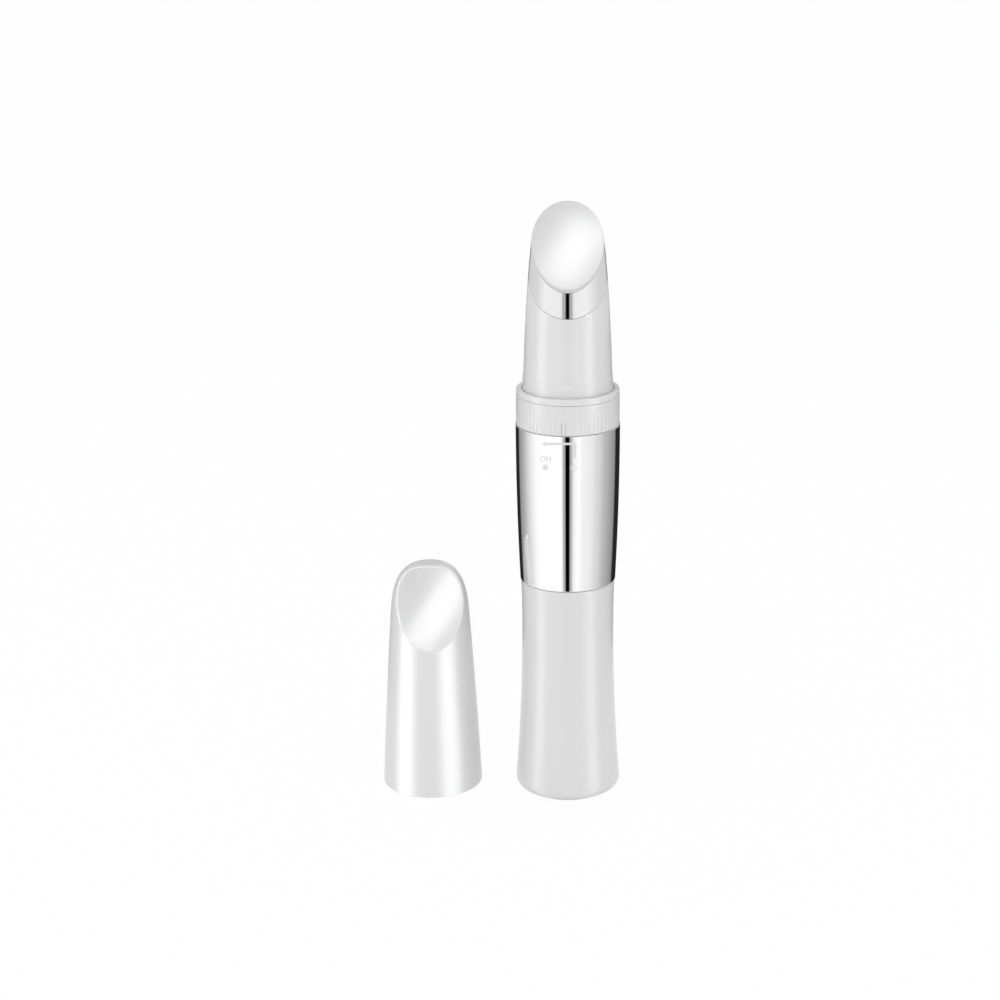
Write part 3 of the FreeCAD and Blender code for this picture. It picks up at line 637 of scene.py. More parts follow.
@dataclass(frozen=True)
class BallFace:
    """A sloping face pressed to the shape of a ball."""

    plane: Slope
    form: Form
    radius: float                    # of the ball
    depth: float = 0.0               # of the face's middle under the plane
    shift: float = 0.0               # along the plane, from the axis to the face's middle

    @property
    def ball_centre(self) -> Vector:
        """The ball's centre."""
        reach = self.form.value * self.radius
        return self.plane.place(Vector((0, self.shift, reach - self.depth)))

    @property
    def middle(self) -> Vector:
        """The face's middle."""
        return self.plane.place(Vector((0, self.shift, -self.depth)))

    def height_over(self, point: Vector) -> float:
        """Tell how far a point is over the face."""
        return self.form.value * (self.radius - (point - self.ball_centre).length)

    def pressed(self, point: Vector) -> Vector:
        """Push a point on to the face, straight to or from the ball's centre."""
        arm = point - self.ball_centre
        return self.ball_centre + arm.normalized() * self.radius

    def sunk(self, depth: float) -> "BallFace":
        """Give the face that lies a depth below this one."""
        radius = self.radius + self.form.value * depth
        return replace(self, radius=radius, depth=self.depth + depth)


def on_outline(outline: Outline, place: float, angle: float, pole: float = 0.0) -> Vector:
    """Find a point on a turned surface.

    Args:
        outline: The surface's outline, whose radius is negative past the axis.
        place: Where along the outline.
        angle: Where round the pole, from the right towards the back.
        pole: How far behind the axis the upright line stands where the meridians meet.

    Returns:
        The point.
    """
    radius, height = outline.at(place)
    side, back = math.cos(angle), math.sin(angle)
    half_chord = math.sqrt(max(0.0, radius ** 2 - (pole * side) ** 2))
    reach = max(0.0, math.copysign(half_chord, radius) - pole * back)
    return Vector((reach * side, pole + reach * back, height))


@lru_cache(maxsize=None)
def climb(outline: Outline, angle: float, surface: Surface, pole: float = 0.0) -> float:
    """Follow a turned surface up one meridian to where it meets another surface.

    Args:
        outline: The turned surface's outline, from its bottom to its top.
        angle: The meridian.
        surface: What ends it.
        pole: How far behind the axis the meridians meet.

    Returns:
        The place along the outline.
    """
    low, high = 0.0, float(len(outline.stretches))
    for _ in range(CLIMB_ROUNDS):
        place = (low + high) / 2
        if surface.height_over(on_outline(outline, place, angle, pole)) < 0:
            low = place
        else:
            high = place
    return (low + high) / 2


# --- Meshes ---

def spun(points: list[Vector], closed: bool, steps: int = TURN_STEPS) -> Mesh:
    """Turn a line of points about the z axis.

    Args:
        points: The line, in the x-z plane.
        closed: Whether the last point is joined to the first.
        steps: Faces round the axis.

    Returns:
        The turned mesh, with its doubles merged and its faces outwards.
    """
    mesh = bmesh.new()
    corners = [mesh.verts.new(point) for point in points]
    pairs = list(zip(corners, corners[1:]))
    if closed:
        pairs.append((corners[-1], corners[0]))
    edges = [mesh.edges.new(pair) for pair in pairs]
    bmesh.ops.spin(
        mesh, geom=corners + edges, cent=(0, 0, 0), axis=(0, 0, 1), dvec=(0, 0, 0),
        angle=FULL_TURN, steps=steps, use_merge=True, use_duplicate=False,
    )
    return sealed(mesh, MERGE_GAP)


def sealed(mesh: Mesh, gap: float) -> Mesh:
    """Merge the corners of a mesh that are nearer than a gap, and turn its faces outwards."""
    bmesh.ops.remove_doubles(mesh, verts=mesh.verts, dist=gap)
    return faced(mesh)


def faced(mesh: Mesh) -> Mesh:
    """Turn a mesh's faces outwards."""
    bmesh.ops.recalc_face_normals(mesh, faces=mesh.faces)
    return mesh


def turned(outline: Outline) -> Mesh:
    """Turn a closed outline about the z axis."""
    return spun(outline.points(), closed=True)


def shifted(mesh: Mesh, x: float = 0.0, y: float = 0.0, z: float = 0.0) -> Mesh:
    """Move a mesh."""
    bmesh.ops.translate(mesh, vec=(x, y, z), verts=mesh.verts)
    return mesh


def rotated(mesh: Mesh, degrees: float, axis: str) -> Mesh:
    """Turn a mesh about an axis of the frame.

    Args:
        mesh: The mesh, which is changed.
        degrees: By how much.
        axis: The axis's letter.

    Returns:
        The mesh.
    """
    turn = Matrix.Rotation(math.radians(degrees), 3, axis)
    bmesh.ops.rotate(mesh, cent=(0, 0, 0), matrix=turn, verts=mesh.verts)
    return mesh


def flat_grid(width: float, height: float, columns: int, rows: int) -> Mesh:
    """Make a level rectangle.

    Args:
        width: Its size along x.
        height: Its size along y.
        columns: The faces along x.
        rows: The faces along y.

    Returns:
        The rectangle, with its middle at the origin.
    """
    mesh = bmesh.new()
    half = 0.5
    bmesh.ops.create_grid(mesh, x_segments=columns, y_segments=rows, size=half)
    bmesh.ops.scale(mesh, vec=(width, height, 1), verts=mesh.verts)
    return mesh


def even_run(start: Point2, end: Point2, count: int) -> list[Vector]:
    """Divide a straight run of a section into equal steps.

    Args:
        start: The (radius, height) that it starts from.
        end: The one that it ends at.
        count: The number of steps.

    Returns:
        Its points, both ends among them.
    """
    first, last = Vector(start), Vector(end)
    steps = [first.lerp(last, index / count) for index in range(count + 1)]
    return [Vector((radius, 0, height)) for radius, height in steps]


def at_end(height: float, rows: int) -> bool:
    """Tell whether a corner of a unit shape lies in its topmost row."""
    return height > 1 - HALFWAY / rows


def warp(mesh: Mesh, move: Callable[[float, float, float], Vector]) -> Mesh:
    """Move every corner of a turned mesh.

    Args:
        mesh: The mesh, which is changed.
        move: From a corner's angle, radius and height to its new place.

    Returns:
        The mesh, with its faces outwards.
    """
    for corner in mesh.verts:
        angle = round(math.atan2(corner.co.y, corner.co.x), ANGLE_DIGITS)
        corner.co = move(angle, corner.co.xy.length, corner.co.z)
    return faced(mesh)


def join(mesh: Mesh, other: Mesh) -> None:
    """Add a second mesh to a first.

    Args:
        mesh: The first.
        other: The second, which is freed.
    """
    carrier = bpy.data.meshes.new("joined")
    other.to_mesh(carrier)
    other.free()
    mesh.from_mesh(carrier)
    bpy.data.meshes.remove(carrier)


def put_in_scene(name: str, data: Any) -> bpy.types.Object:
    """Make an object and put it in the scene.

    Args:
        name: Its name.
        data: Its mesh, curve, light or camera.

    Returns:
        The object.
    """
    item = bpy.data.objects.new(name, data)
    bpy.context.scene.collection.objects.link(item)
    return item


def mesh_object(name: str, mesh: Mesh, material: bpy.types.Material) -> bpy.types.Object:
    """Make an object of a mesh.

    Args:
        name: The object's name.
        mesh: The mesh in metres, which is freed.
        material: Its material.

    Returns:
        The object.
    """
    data = bpy.data.meshes.new(name)
    mesh.to_mesh(data)
    mesh.free()
    data.materials.append(material)
    return put_in_scene(name, data)


@dataclass(frozen=True)
class Piece:
    """What a finished mesh becomes in the scene."""

    name: str
    finish: Finish
    body: Body
    slot: str
    stands_for: tuple[str, ...] = ()
    wall: float = 0.0                # thickness that an open shell gets, inwards
    edge: float = 0.0                # rounding of its sharp edges
    edge_segments: int = 3

    def add(self, mesh: Mesh) -> None:
        """Make the piece's object, which rides on its body.

        Args:
            mesh: The mesh in millimetres, which is freed.
        """
        bmesh.ops.scale(mesh, vec=(MM, MM, MM), verts=mesh.verts)
        piece = mesh_object(self.name, mesh, self.finish.material())
        piece.data.shade_smooth()
        if self.wall:
            shell = piece.modifiers.new("wall", "SOLIDIFY")
            shell.thickness = self.wall * MM
            shell.offset = -1.0
            shell.use_even_offset = True
        if self.edge:
            rounding = piece.modifiers.new("edges", "BEVEL")
            rounding.width = self.edge * MM
            rounding.segments = self.edge_segments
            rounding.limit_method = "ANGLE"
            rounding.angle_limit = math.radians(SHARP_ANGLE)
            rounding.harden_normals = True
        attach(piece, self.body.value)
        if self.stands_for:
            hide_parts(*self.stands_for)
        faces = len(piece.data.polygons)
        LOG.info("made %s: %d faces before its modifiers", self.name, faces)


# --- Handle ---

@dataclass
class HandleUnit:
    """The waisted grip, its foot, and the contacts inside it."""

    bore_r: float = 9.5
    bottom: float = 0.5
    corner: float = 2.2
    flare_r: float = 12.3
    waist_r: float = 10.7
    waist_z: float = 42.0
    top_r: float = 10.9
    top: float = 52.5
    edge: float = 0.12

    def grip(self) -> Mesh:
        """Turn the grip: flared at its bottom, narrow below its top."""
        corner_top = self.bottom + self.corner
        lower_middle = (corner_top + self.waist_z) / 2
        upper_middle = (self.waist_z + self.top) / 2
        return turned(Outline((self.bore_r, self.bottom), (
            (self.flare_r - self.corner, self.bottom),
            Bow((self.flare_r, self.bottom), (self.flare_r, corner_top)),
            Bow((self.waist_r, lower_middle), (self.waist_r, self.waist_z)),
            Bow((self.waist_r, upper_middle), (self.top_r, self.top)),
            (self.bore_r, self.top),
        )))

    def build(self) -> None:
        """Make the grip, and dress the foot and contacts."""
        Piece(
            "grip", GRIP_WHITE, Body.HANDLE, "white_shell", ("handle_shell",), edge=self.edge
        ).add(self.grip())
        dress(FOOT_GREY, "base_foot")
        dress(CONTACT, "ground_strip")
        dress(SPRING, "negative_spring")


# --- Battery and electronics ---

@dataclass
class PowerCore:
    """The cell and the electronics, which leave the handle with the upper unit."""

    finishes: dict[str, Finish] = field(default_factory=lambda: {
        "battery_cell": CELL,
        "battery_holder": HOLDER_BLACK,
        "positive_contact": CONTACT,
        "contact_leaf": CONTACT,
        "circuit_board": BOARD,
        "power_inductor": RUBBER,
        "capacitors": DRAWN_STEEL,
        "control_chips": CHIP,
        "body_core": CORE_GREY,
        "body_o_ring": RUBBER,
        "switch_wafer": WAFER,
        "switch_pins": CONTACT,
    })

    def build(self) -> None:
        """Dress every inner part."""
        for node, finish in self.finishes.items():
            dress(finish, node)


# --- Chrome barrel ---

@dataclass
class ChromeBarrel:
    """The mirror sleeve with its printed switch marks."""

    bottom: float = 52.7
    top: float = 90.0
    bottom_r: float = 11.1
    top_r: float = 12.0
    wall: float = 0.6
    edge: float = 0.1
    lip_r: float = 10.4
    print_rise: float = 0.02         # thickness of the ink
    print_drop: float = 0.3          # how far a mark sinks beside the front, per depth
    stroke: float = 0.53
    stroke_columns: int = 24         # faces along a stroke, which bend round the sleeve
    stroke_rows: int = 4
    arrow_z: float = 88.4
    arrow_right: float = 1.92        # arc from the front, to the right
    arrow_left: float = -6.15
    head_length: float = 1.2
    head_half: float = 0.62
    drop_bottom: float = 85.1        # of the stroke that goes down from the arrow's end
    drop_width: float = 0.62
    off_mark: Point2 = (1.31, 82.7)
    off_size: float = 0.72
    off_line: float = 0.17
    on_mark: Point2 = (-5.25, 82.9)
    on_size: float = 0.7
    mark_steps: int = 48
    word: str = "ON"
    word_place: Point2 = (-5.2, 84.25)
    word_height: float = 1.85
    word_cut: float = 0.25           # width of the strips that bend round the sleeve

    @property
    def middle(self) -> float:
        """The height of the points that pull the sleeve's bowed side."""
        return (self.bottom + self.top) / 2

    def radius_at(self, height: float) -> float:
        """Find the sleeve's radius at a height."""
        share = (self.top - height) / (self.top - self.bottom)
        return self.top_r - (self.top_r - self.bottom_r) * share ** 2

    def sleeve(self) -> Mesh:
        """Turn the sleeve, with the lip that turns in at its top."""
        inner_top_r, inner_bottom_r = self.top_r - self.wall, self.bottom_r - self.wall
        lip_bottom = self.top - self.wall
        return turned(Outline((inner_bottom_r, self.bottom), (
            (self.bottom_r, self.bottom),
            Bow((self.top_r, self.middle), (self.top_r, self.top)),
            (self.lip_r, self.top),
            (self.lip_r, lip_bottom),
            (inner_top_r, lip_bottom),
            Bow((inner_top_r, self.middle), (inner_bottom_r, self.bottom)),
        )))

    def wrap(self, mesh: Mesh) -> None:
        """Lay a flat mark on the sleeve's front.

        Args:
            mesh: The mark, drawn as arc from the front and height.
        """
        for corner in mesh.verts:
            arc, height, rise = corner.co
            radius = self.radius_at(height)
            angle = arc / radius
            reach = radius + self.print_rise + rise
            drop = self.print_drop * radius * (1 - math.cos(angle))
            corner.co = (reach * math.sin(angle), -reach * math.cos(angle), height - drop)
        for face in mesh.faces:
            face.normal_update()
            centre = face.calc_center_median()
            if face.normal.dot(Vector((centre.x, centre.y, 0))) < 0:
                face.normal_flip()

    def bar(self, left: float, right: float, bottom: float, top: float) -> Mesh:
        """Draw a straight stroke.

        Args:
            left: Its left end, as arc from the front.
            right: Its right end.
            bottom: Its lower edge.
            top: Its upper edge.

        Returns:
            The flat stroke, cut finely enough to bend round the sleeve.
        """
        mesh = flat_grid(right - left, top - bottom, self.stroke_columns, self.stroke_rows)
        return shifted(mesh, (left + right) / 2, (bottom + top) / 2)

    def arrow_head(self) -> Mesh:
        """Draw the arrow's tip, a triangle whose point is at the arrow's left end."""
        head = bmesh.new()
        bmesh.ops.create_circle(head, cap_ends=True, segments=3, radius=1.0)
        rotated(head, 90, "Z")
        unit_length, unit_half = 1.5, math.sin(math.radians(60))
        scale = (self.head_length / unit_length, self.head_half / unit_half, 1)
        bmesh.ops.scale(head, vec=scale, verts=head.verts)
        tip = min(corner.co.x for corner in head.verts)
        return shifted(head, self.arrow_left - tip, self.arrow_z)

    def arrow(self) -> Mesh:
        """Draw the square-cornered arrow that points to the on mark."""
        half = self.stroke / 2
        shaft_left = self.arrow_left + self.head_length
        drop_left = self.arrow_right - self.drop_width
        low, high = self.arrow_z - half, self.arrow_z + half
        mesh = self.bar(shaft_left, self.arrow_right, low, high)
        join(mesh, self.bar(drop_left, self.arrow_right, self.drop_bottom, low))
        join(mesh, self.arrow_head())
        return mesh

    def round_mark(self, place: Point2, size: float, hole: float = 0.0) -> Mesh:
        """Draw a round mark.

        Args:
            place: Its middle, as arc and height.
            size: Its radius.
            hole: The radius of the hole in it, or 0 for a filled one.

        Returns:
            The flat mark.
        """
        mesh = spun(even_run((hole, 0), (size, 0), 1), closed=False, steps=self.mark_steps)
        return shifted(mesh, *place)

    def lettering(self) -> Mesh:
        """Draw the plain word over the on mark."""
        curve = bpy.data.curves.new("switch_word", "FONT")
        curve.body = self.word
        curve.size = self.word_height
        curve.align_x = "CENTER"
        writer = put_in_scene("switch_word", curve)
        bpy.context.view_layer.update()
        mesh = bmesh.new()
        mesh.from_mesh(writer.to_mesh())
        writer.to_mesh_clear()
        bpy.data.objects.remove(writer)
        bpy.data.curves.remove(curve)
        shifted(mesh, *self.word_place)
        left = min(corner.co.x for corner in mesh.verts)
        right = max(corner.co.x for corner in mesh.verts)
        cuts = int((right - left) / self.word_cut)
        for index in range(1, cuts + 1):
            bmesh.ops.bisect_plane(
                mesh, geom=mesh.verts[:] + mesh.edges[:] + mesh.faces[:],
                plane_co=(left + index * self.word_cut, 0, 0), plane_no=(1, 0, 0),
            )
        return mesh

    def build(self) -> None:
        """Make the sleeve and its marks."""
        Piece(
            "chrome_barrel", CHROME, Body.UPPER, "chrome_sleeve", ("barrel_sleeve",),
            edge=self.edge,
        ).add(self.sleeve())
        hole = self.off_size - self.off_line
        marks = {
            "arrow_mark": self.arrow(),
            "off_ring_mark": self.round_mark(self.off_mark, self.off_size, hole),
            "on_dot_mark": self.round_mark(self.on_mark, self.on_size),
            "on_word": self.lettering(),
        }
        for name, mesh in marks.items():
            self.wrap(mesh)
            Piece(name, MARK_GREY, Body.UPPER, "foot_grey").add(mesh)


# --- Switch ring ---

@dataclass
class SwitchRing:
    """The fluted ring that switches the wand on."""

    bottom: float = 90.05
    top: float = 96.95
    radius: float = 11.85
    wall: float = 1.1
    hub: float = 2.75
    bore_r: float = 9.36
    corner: float = 0.15
    flutes: int = 60
    flute_r: float = 0.42
    flute_depth: float = 0.09        # at the ring's bottom, from where it runs out upwards
    flute_length: float = 6.6
    flute_rows: int = 12
    steps_per_flute: int = 12
    index_angles: Point2 = (-6.9, -2.2)
    index_width: float = 0.16
    index_height: float = 3.0
    index_rise: float = 0.02
    index_columns: int = 2
    index_rows: int = 8

    def groove(self, angle: float, height: float) -> float:
        """Tell how deep the flutes cut.

        Args:
            angle: Where round the axis.
            height: Where up the ring.

        Returns:
            The depth below the ring's radius.
        """
        pitch = FULL_TURN / self.flutes
        off = (angle + pitch / 2) % pitch - pitch / 2
        across = abs(off) * self.radius
        depth = self.flute_depth * (1 - (height - self.bottom) / self.flute_length)
        if across >= self.flute_r:
            return 0.0
        floor = math.sqrt(self.flute_r ** 2 - across ** 2)
        return max(0.0, floor - self.flute_r + depth)

    def fluted(self, angle: float, radius: float, height: float) -> Vector:
        """Move a corner of the ring's outside in by the depth of the flutes.

        Args:
            angle: Where round the axis.
            radius: Its distance from the axis.
            height: Where up the ring.

        Returns:
            Its new place.
        """
        if radius > self.radius - 2 * self.corner:
            radius = min(radius, self.radius - self.groove(angle, height))
        return Vector((radius * math.cos(angle), radius * math.sin(angle), height))

    def body(self) -> Mesh:
        """Turn the hollow ring, and press its flutes into its outside."""
        inner_r = self.radius - self.wall
        hub_bottom = self.top - self.hub
        side_bottom = self.bottom + self.corner
        side_top = self.top - self.corner
        row = (side_top - side_bottom) / self.flute_rows
        side = tuple(
            (self.radius, side_bottom + index * row) for index in range(1, self.flute_rows + 1)
        )
        section = Outline((inner_r, self.bottom), (
            (self.radius - self.corner, self.bottom),
            Bow((self.radius, self.bottom), (self.radius, side_bottom), CORNER_STEPS),
            *side,
            Bow((self.radius, self.top), (self.radius - self.corner, self.top), CORNER_STEPS),
            (self.bore_r, self.top),
            (self.bore_r, hub_bottom),
            (inner_r, hub_bottom),
        ))
        steps = self.flutes * self.steps_per_flute
        return warp(spun(section.points(), closed=True, steps=steps), self.fluted)

    def index_line(self, degrees: float) -> Mesh:
        """Make one upright index line, printed at the ring's lower edge.

        Args:
            degrees: Its angle from the front, positive to the right.

        Returns:
            The thin line, on the ring's outside.
        """
        mesh = flat_grid(
            self.index_width, self.index_height, self.index_columns, self.index_rows
        )
        rotated(mesh, 90, "X")
        middle = self.bottom + self.corner + self.index_height / 2
        shifted(mesh, y=-self.radius - self.index_rise, z=middle)
        return rotated(mesh, degrees, "Z")

    def build(self) -> None:
        """Make the ring and its two index lines, and dress its wiper."""
        Piece(
            "fluted_ring", RING_WHITE, Body.RING, "ring_white", ("switch_ring",)
        ).add(self.body())
        for side, degrees in zip(("left", "right"), self.index_angles):
            name = f"index_line_{side}"
            Piece(name, INDEX_GREY, Body.RING, "foot_grey").add(self.index_line(degrees))
        dress(CONTACT, "switch_wiper")


# --- Collar and nose ---

@dataclass
class CollarRim:
    """The smooth rim above the ring."""

    bottom: float = 97.0
    top: float = 98.4
    radius: float = 11.8
    corner: float = 0.3
    edge: float = 0.12
    inner_r: float = 10.7
    web_top: float = 97.8
    web_hole_r: float = 7.4

    def build(self) -> None:
        """Turn the rim with the web that holds it."""
        section = Outline((self.web_hole_r, self.bottom), (
            (self.radius, self.bottom),
            (self.radius, self.top - self.corner),
            Bow((self.radius, self.top), (self.radius - self.corner, self.top), CORNER_STEPS),
            (self.inner_r, self.top),
            (self.inner_r, self.web_top),
            (self.web_hole_r, self.web_top),
        ))
        Piece(
            "smooth_rim", GLOSS_WHITE, Body.UPPER, "rim_white", ("collar_rim",),
            edge=self.edge,
        ).add(turned(section))


NOSE_LINE = Outline((10.15, 101.5), (Bow((9.35, 127.0), (6.9, 141.5)),))
NOSE_CUT = Slope(124.4, 0.85)
WARM_FACE = BallFace(Slope(133.57, 1.015), Form.CROWNED, 90.0)


@dataclass
class NoseCone:
    """The white nose with its band, two snap beads and an oblique top."""

    band_r: float = 10.3
    band_bottom: float = 97.8
    band_top: float = 101.4
    wall: float = 1.2
    edge: float = 0.05
    rows: int = 40
    bead_r: float = 0.3
    bead_rise: float = 0.12
    bead_spacing: float = 0.8
    bead_z: float = 101.05
    bead_fineness: int = 3

    def cone(self) -> Mesh:
        """Make the open wall: a unit tube, fitted between the step and the cut."""
        mesh = spun(even_run((1, 0), (1, 1), self.rows), closed=False)
        foot = [edge for edge in mesh.edges if edge.is_boundary
                and all(corner.co.z < HALFWAY for corner in edge.verts)]

        def fit(angle: float, _radius: float, height: float) -> Vector:
            """Move a corner to its place between the step and the cut."""
            return on_outline(NOSE_LINE, height * climb(NOSE_LINE, angle, NOSE_CUT), angle)

        warp(mesh, fit)
        start_r = NOSE_LINE.start[0]
        for radius, height in ((self.band_r, self.band_top), (self.band_r, self.band_bottom)):
            made = bmesh.ops.extrude_edge_only(mesh, edges=foot)["geom"]
            loop = [part for part in made if isinstance(part, bmesh.types.BMVert)]
            foot = [part for part in made if isinstance(part, bmesh.types.BMEdge)
                    and part.is_boundary]
            grow = radius / start_r
            bmesh.ops.scale(mesh, vec=(grow, grow, 1), verts=loop)
            bmesh.ops.translate(mesh, vec=(0, 0, height - loop[0].co.z), verts=loop)
            start_r = radius
        return faced(mesh)

    def bead(self, x: float) -> Mesh:
        """Make one snap bead.

        Args:
            x: Its place across the front.

        Returns:
            The small ball, sunk into the band.
        """
        mesh = bmesh.new()
        bmesh.ops.create_icosphere(mesh, subdivisions=self.bead_fineness, radius=self.bead_r)
        front = -math.sqrt(self.band_r ** 2 - x ** 2) + self.bead_r - self.bead_rise
        return shifted(mesh, x, front, self.bead_z)

    def build(self) -> None:
        """Make the nose and its beads."""
        Piece(
            "nose", GLOSS_WHITE, Body.UPPER, "white_shell", ("nose_cone",),
            wall=self.wall, edge=self.edge,
        ).add(self.cone())
        for side, x in (("left", -self.bead_spacing / 2), ("right", self.bead_spacing / 2)):
            name = f"snap_bead_{side}"
            # The beads wear the lighter white, a painted highlight on them.
            Piece(name, BEAD_PAINTED_HIGHLIGHT, Body.UPPER, "white_shell").add(self.bead(x))


# --- Massage head ---

@dataclass
class MassageHead:
    """The chrome head, its domed warm plate, and what lies under it."""

    plate: float = 0.35
    plate_edge: float = 0.12
    plate_edge_segments: int = 4
    wall: float = 1.95
    wall_edge: float = 0.04
    wall_steps: int = 10             # faces through the wall, on its domed top
    unit_bore: float = 0.5           # radius of the hole in the unit tube
    rows: int = 40
    rings: int = 40

    def shell(self) -> Mesh:
        """Make the thick chrome wall between the nose's cut and the plate."""
        bore = self.unit_bore
        mesh = spun(
            even_run((bore, 0), (1, 0), 1)
            + even_run((1, 0), (1, 1), self.rows)[1:]
            + even_run((1, 1), (bore, 1), self.wall_steps)[1:]
            + even_run((bore, 1), (bore, 0), self.rows)[1:-1],
            closed=True,
        )
        lines = (NOSE_LINE, NOSE_LINE.inset(self.wall))
        bottom = replace(NOSE_CUT, lift=SEAM)
        top = WARM_FACE.sunk(self.plate)

        def fit(angle: float, radius: float, height: float) -> Vector:
            """Move a corner to its place between the two oblique ends.

            Args:
                angle: Its meridian.
                radius: Its place through the wall, 1 at the outside.
                height: Its share of the wall's height.

            Returns:
                The new place.
            """
            ends = []
            for line in lines:
                low = climb(line, angle, bottom)
                high = climb(line, angle, top)
                ends.append(on_outline(line, low + (high - low) * height, angle))
            point = ends[0].lerp(ends[1], (1 - radius) / (1 - bore))
            return top.pressed(point) if at_end(height, self.rows) else point

        return warp(mesh, fit)

    def warm_plate(self) -> Mesh:
        """Make the domed plate as a closed layer."""
        mesh = spun(
            even_run((0, 1), (1, 1), self.rings) + even_run((1, 0), (0, 0), self.rings),
            closed=False,
        )
        under = WARM_FACE.sunk(self.plate)

        def fit(angle: float, radius: float, height: float) -> Vector:
            """Press a corner on to the face, or on to the layer's underside.

            Args:
                angle: Its meridian.
                radius: Its share of the way to the rim.
                height: 1 for the face and 0 for the underside.

            Returns:
                The new place.
            """
            face = WARM_FACE if height > HALFWAY else under
            rim = on_outline(NOSE_LINE, climb(NOSE_LINE, angle, face), angle)
            return face.pressed(face.middle.lerp(rim, radius))

        return warp(mesh, fit)

    def build(self) -> None:
        """Make the shell and plate, and dress the heating and vibrating parts."""
        Piece(
            "chrome_head", CHROME, Body.UPPER, "chrome_head", ("massage_head",),
            edge=self.wall_edge,
        ).add(self.shell())
        Piece(
            "warm_face_plate", WARM_GLAZE, Body.UPPER, "warm_face", ("warming_plate",),
            edge=self.plate_edge, edge_segments=self.plate_edge_segments,
        ).add(self.warm_plate())
        dress(FILM, "heater_film")
        dress(CHIP, "thermistor")
        dress(FOAM, "insulator_pad")
        dress(CORE_GREY, "head_carrier")
        dress(RUBBER, "motor_sleeve")
        dress(DRAWN_STEEL, "motor_can")
        dress(ZINC, "motor_shaft", "neck_screws")
        dress(SINTERED, "eccentric_weight")
        dress(LEAD_RED, "motor_leads")
        dress(LEAD_BLACK, "heater_leads")


# --- Cap ---

@dataclass
class Cap:
    """The glossy cap, with a dished oblique face and a round mouth."""

    axis: Point2 = (-32.6, 3.0)
    radius: float = 11.8
    corner: float = 0.3              # rounding of the mouth's outer edge
    side_pull: Point2 = (11.0, 18.6)
    shoulder: Point2 = (9.2, 43.9)
    shoulder_pull_r: float = 8.4
    crown_r: float = 2.2
    crown_z: float = 54.75
    wall: float = 1.2
    edge: float = 0.2                # rounding of the dish's border
    edge_segments: int = 4
    mouth_edge: float = 0.1
    mouth_r: float = 10.5
    mouth_depth: float = 6.0
    rows: int = 64
    rings: int = 40
    border: float = 0.965            # share of the dish inside its border
    border_steps: int = 2
    merge_gap: float = 0.001         # under which two corners are one
    dish: BallFace = BallFace(Slope(57.17, 2.165), Form.HOLLOW, 28.4, 1.93, -12.95)
    turn: float = 3.65               # of the whole cap, which brings its face to the right

    @property
    def line(self) -> Outline:
        """The cap's outer line, from its mouth's edge over its crown past the axis."""
        return Outline((self.radius, self.corner), (
            Bow(self.side_pull, self.shoulder),
            Bow((self.shoulder_pull_r, self.crown_z), (self.crown_r, self.crown_z)),
            (-self.crown_r, self.crown_z),
        ))

    def shaped(self, section: list[Vector]) -> Mesh:
        """Shape a part of a unit can, whose side climbs to the dish and whose lid is it.

        Args:
            section: The part's section.

        Returns:
            The part of the cap's outside.
        """
        pole = self.dish.middle.y
        crown = len(self.line.stretches) - 1
        last_row = 1 - 1 / self.rows

        def fit(angle: float, radius: float, height: float) -> Vector:
            """Move a corner of the side or the lid to its place.

            Args:
                angle: Its meridian.
                radius: Its share of the way to the rim, 1 on the side.
                height: Its share of the side's height, 1 on the lid.

            Returns:
                The new place.
            """
            top = climb(self.line, angle, self.dish, pole)
            if not at_end(height, self.rows):
                return on_outline(self.line, min(top, crown) * height / last_row, angle, pole)
            rim = on_outline(self.line, top, angle, pole)
            return self.dish.pressed(self.dish.middle.lerp(rim, radius))

        return sealed(warp(spun(section, closed=False), fit), self.merge_gap)

    def mouth(self) -> Mesh:
        """Turn the mouth's thick band, with its rounded outer edge."""
        return turned(Outline((self.mouth_r, 0.0), (
            (self.radius - self.corner, 0.0),
            Bow((self.radius, 0.0), (self.radius, self.corner), CORNER_STEPS),
            (self.radius - self.wall / 2, self.mouth_depth),
            (self.mouth_r, self.mouth_depth),
        )))

    def build(self) -> None:
        """Make the cap's shell, face and mouth beside the wand."""
        side = even_run((1, 0), (1, 1), self.rows)
        border = even_run((1, 1), (self.border, 1), self.border_steps)[1:]
        face = even_run((self.border, 1), (0, 1), self.rings)
        outside = Piece(
            "cap_outside", CAP_WHITE, Body.CAP, "cap_white", ("cap_shell",),
            wall=self.wall, edge=self.edge, edge_segments=self.edge_segments,
        )
        dish = Piece("cap_face", CAP_FACE_WHITE, Body.CAP, "cap_white", wall=self.wall)
        band = Piece(
            "cap_mouth_band", CAP_WHITE, Body.CAP, "cap_white", edge=self.mouth_edge
        )
        shapes = (
            (outside, self.shaped(side + border)),
            (dish, self.shaped(face)),
            (band, self.mouth()),
        )
        for piece, mesh in shapes:
            piece.add(shifted(rotated(mesh, self.turn, "Z"), *self.axis))


# --- Studio ---

@dataclass(frozen=True)
class Gleam:
    """A soft light that is only seen in the shine of some finishes."""

    name: str
    finishes: tuple[Finish, ...]
    level: float
    azimuth: float                   # from the front towards the right
    elevation: float = 0.0
    size: Point2 = (0.11, 1.0)
    tilt: float = 0.0                # about its own axis
    aim: Point3 = (0.0, 0.0, 0.075)


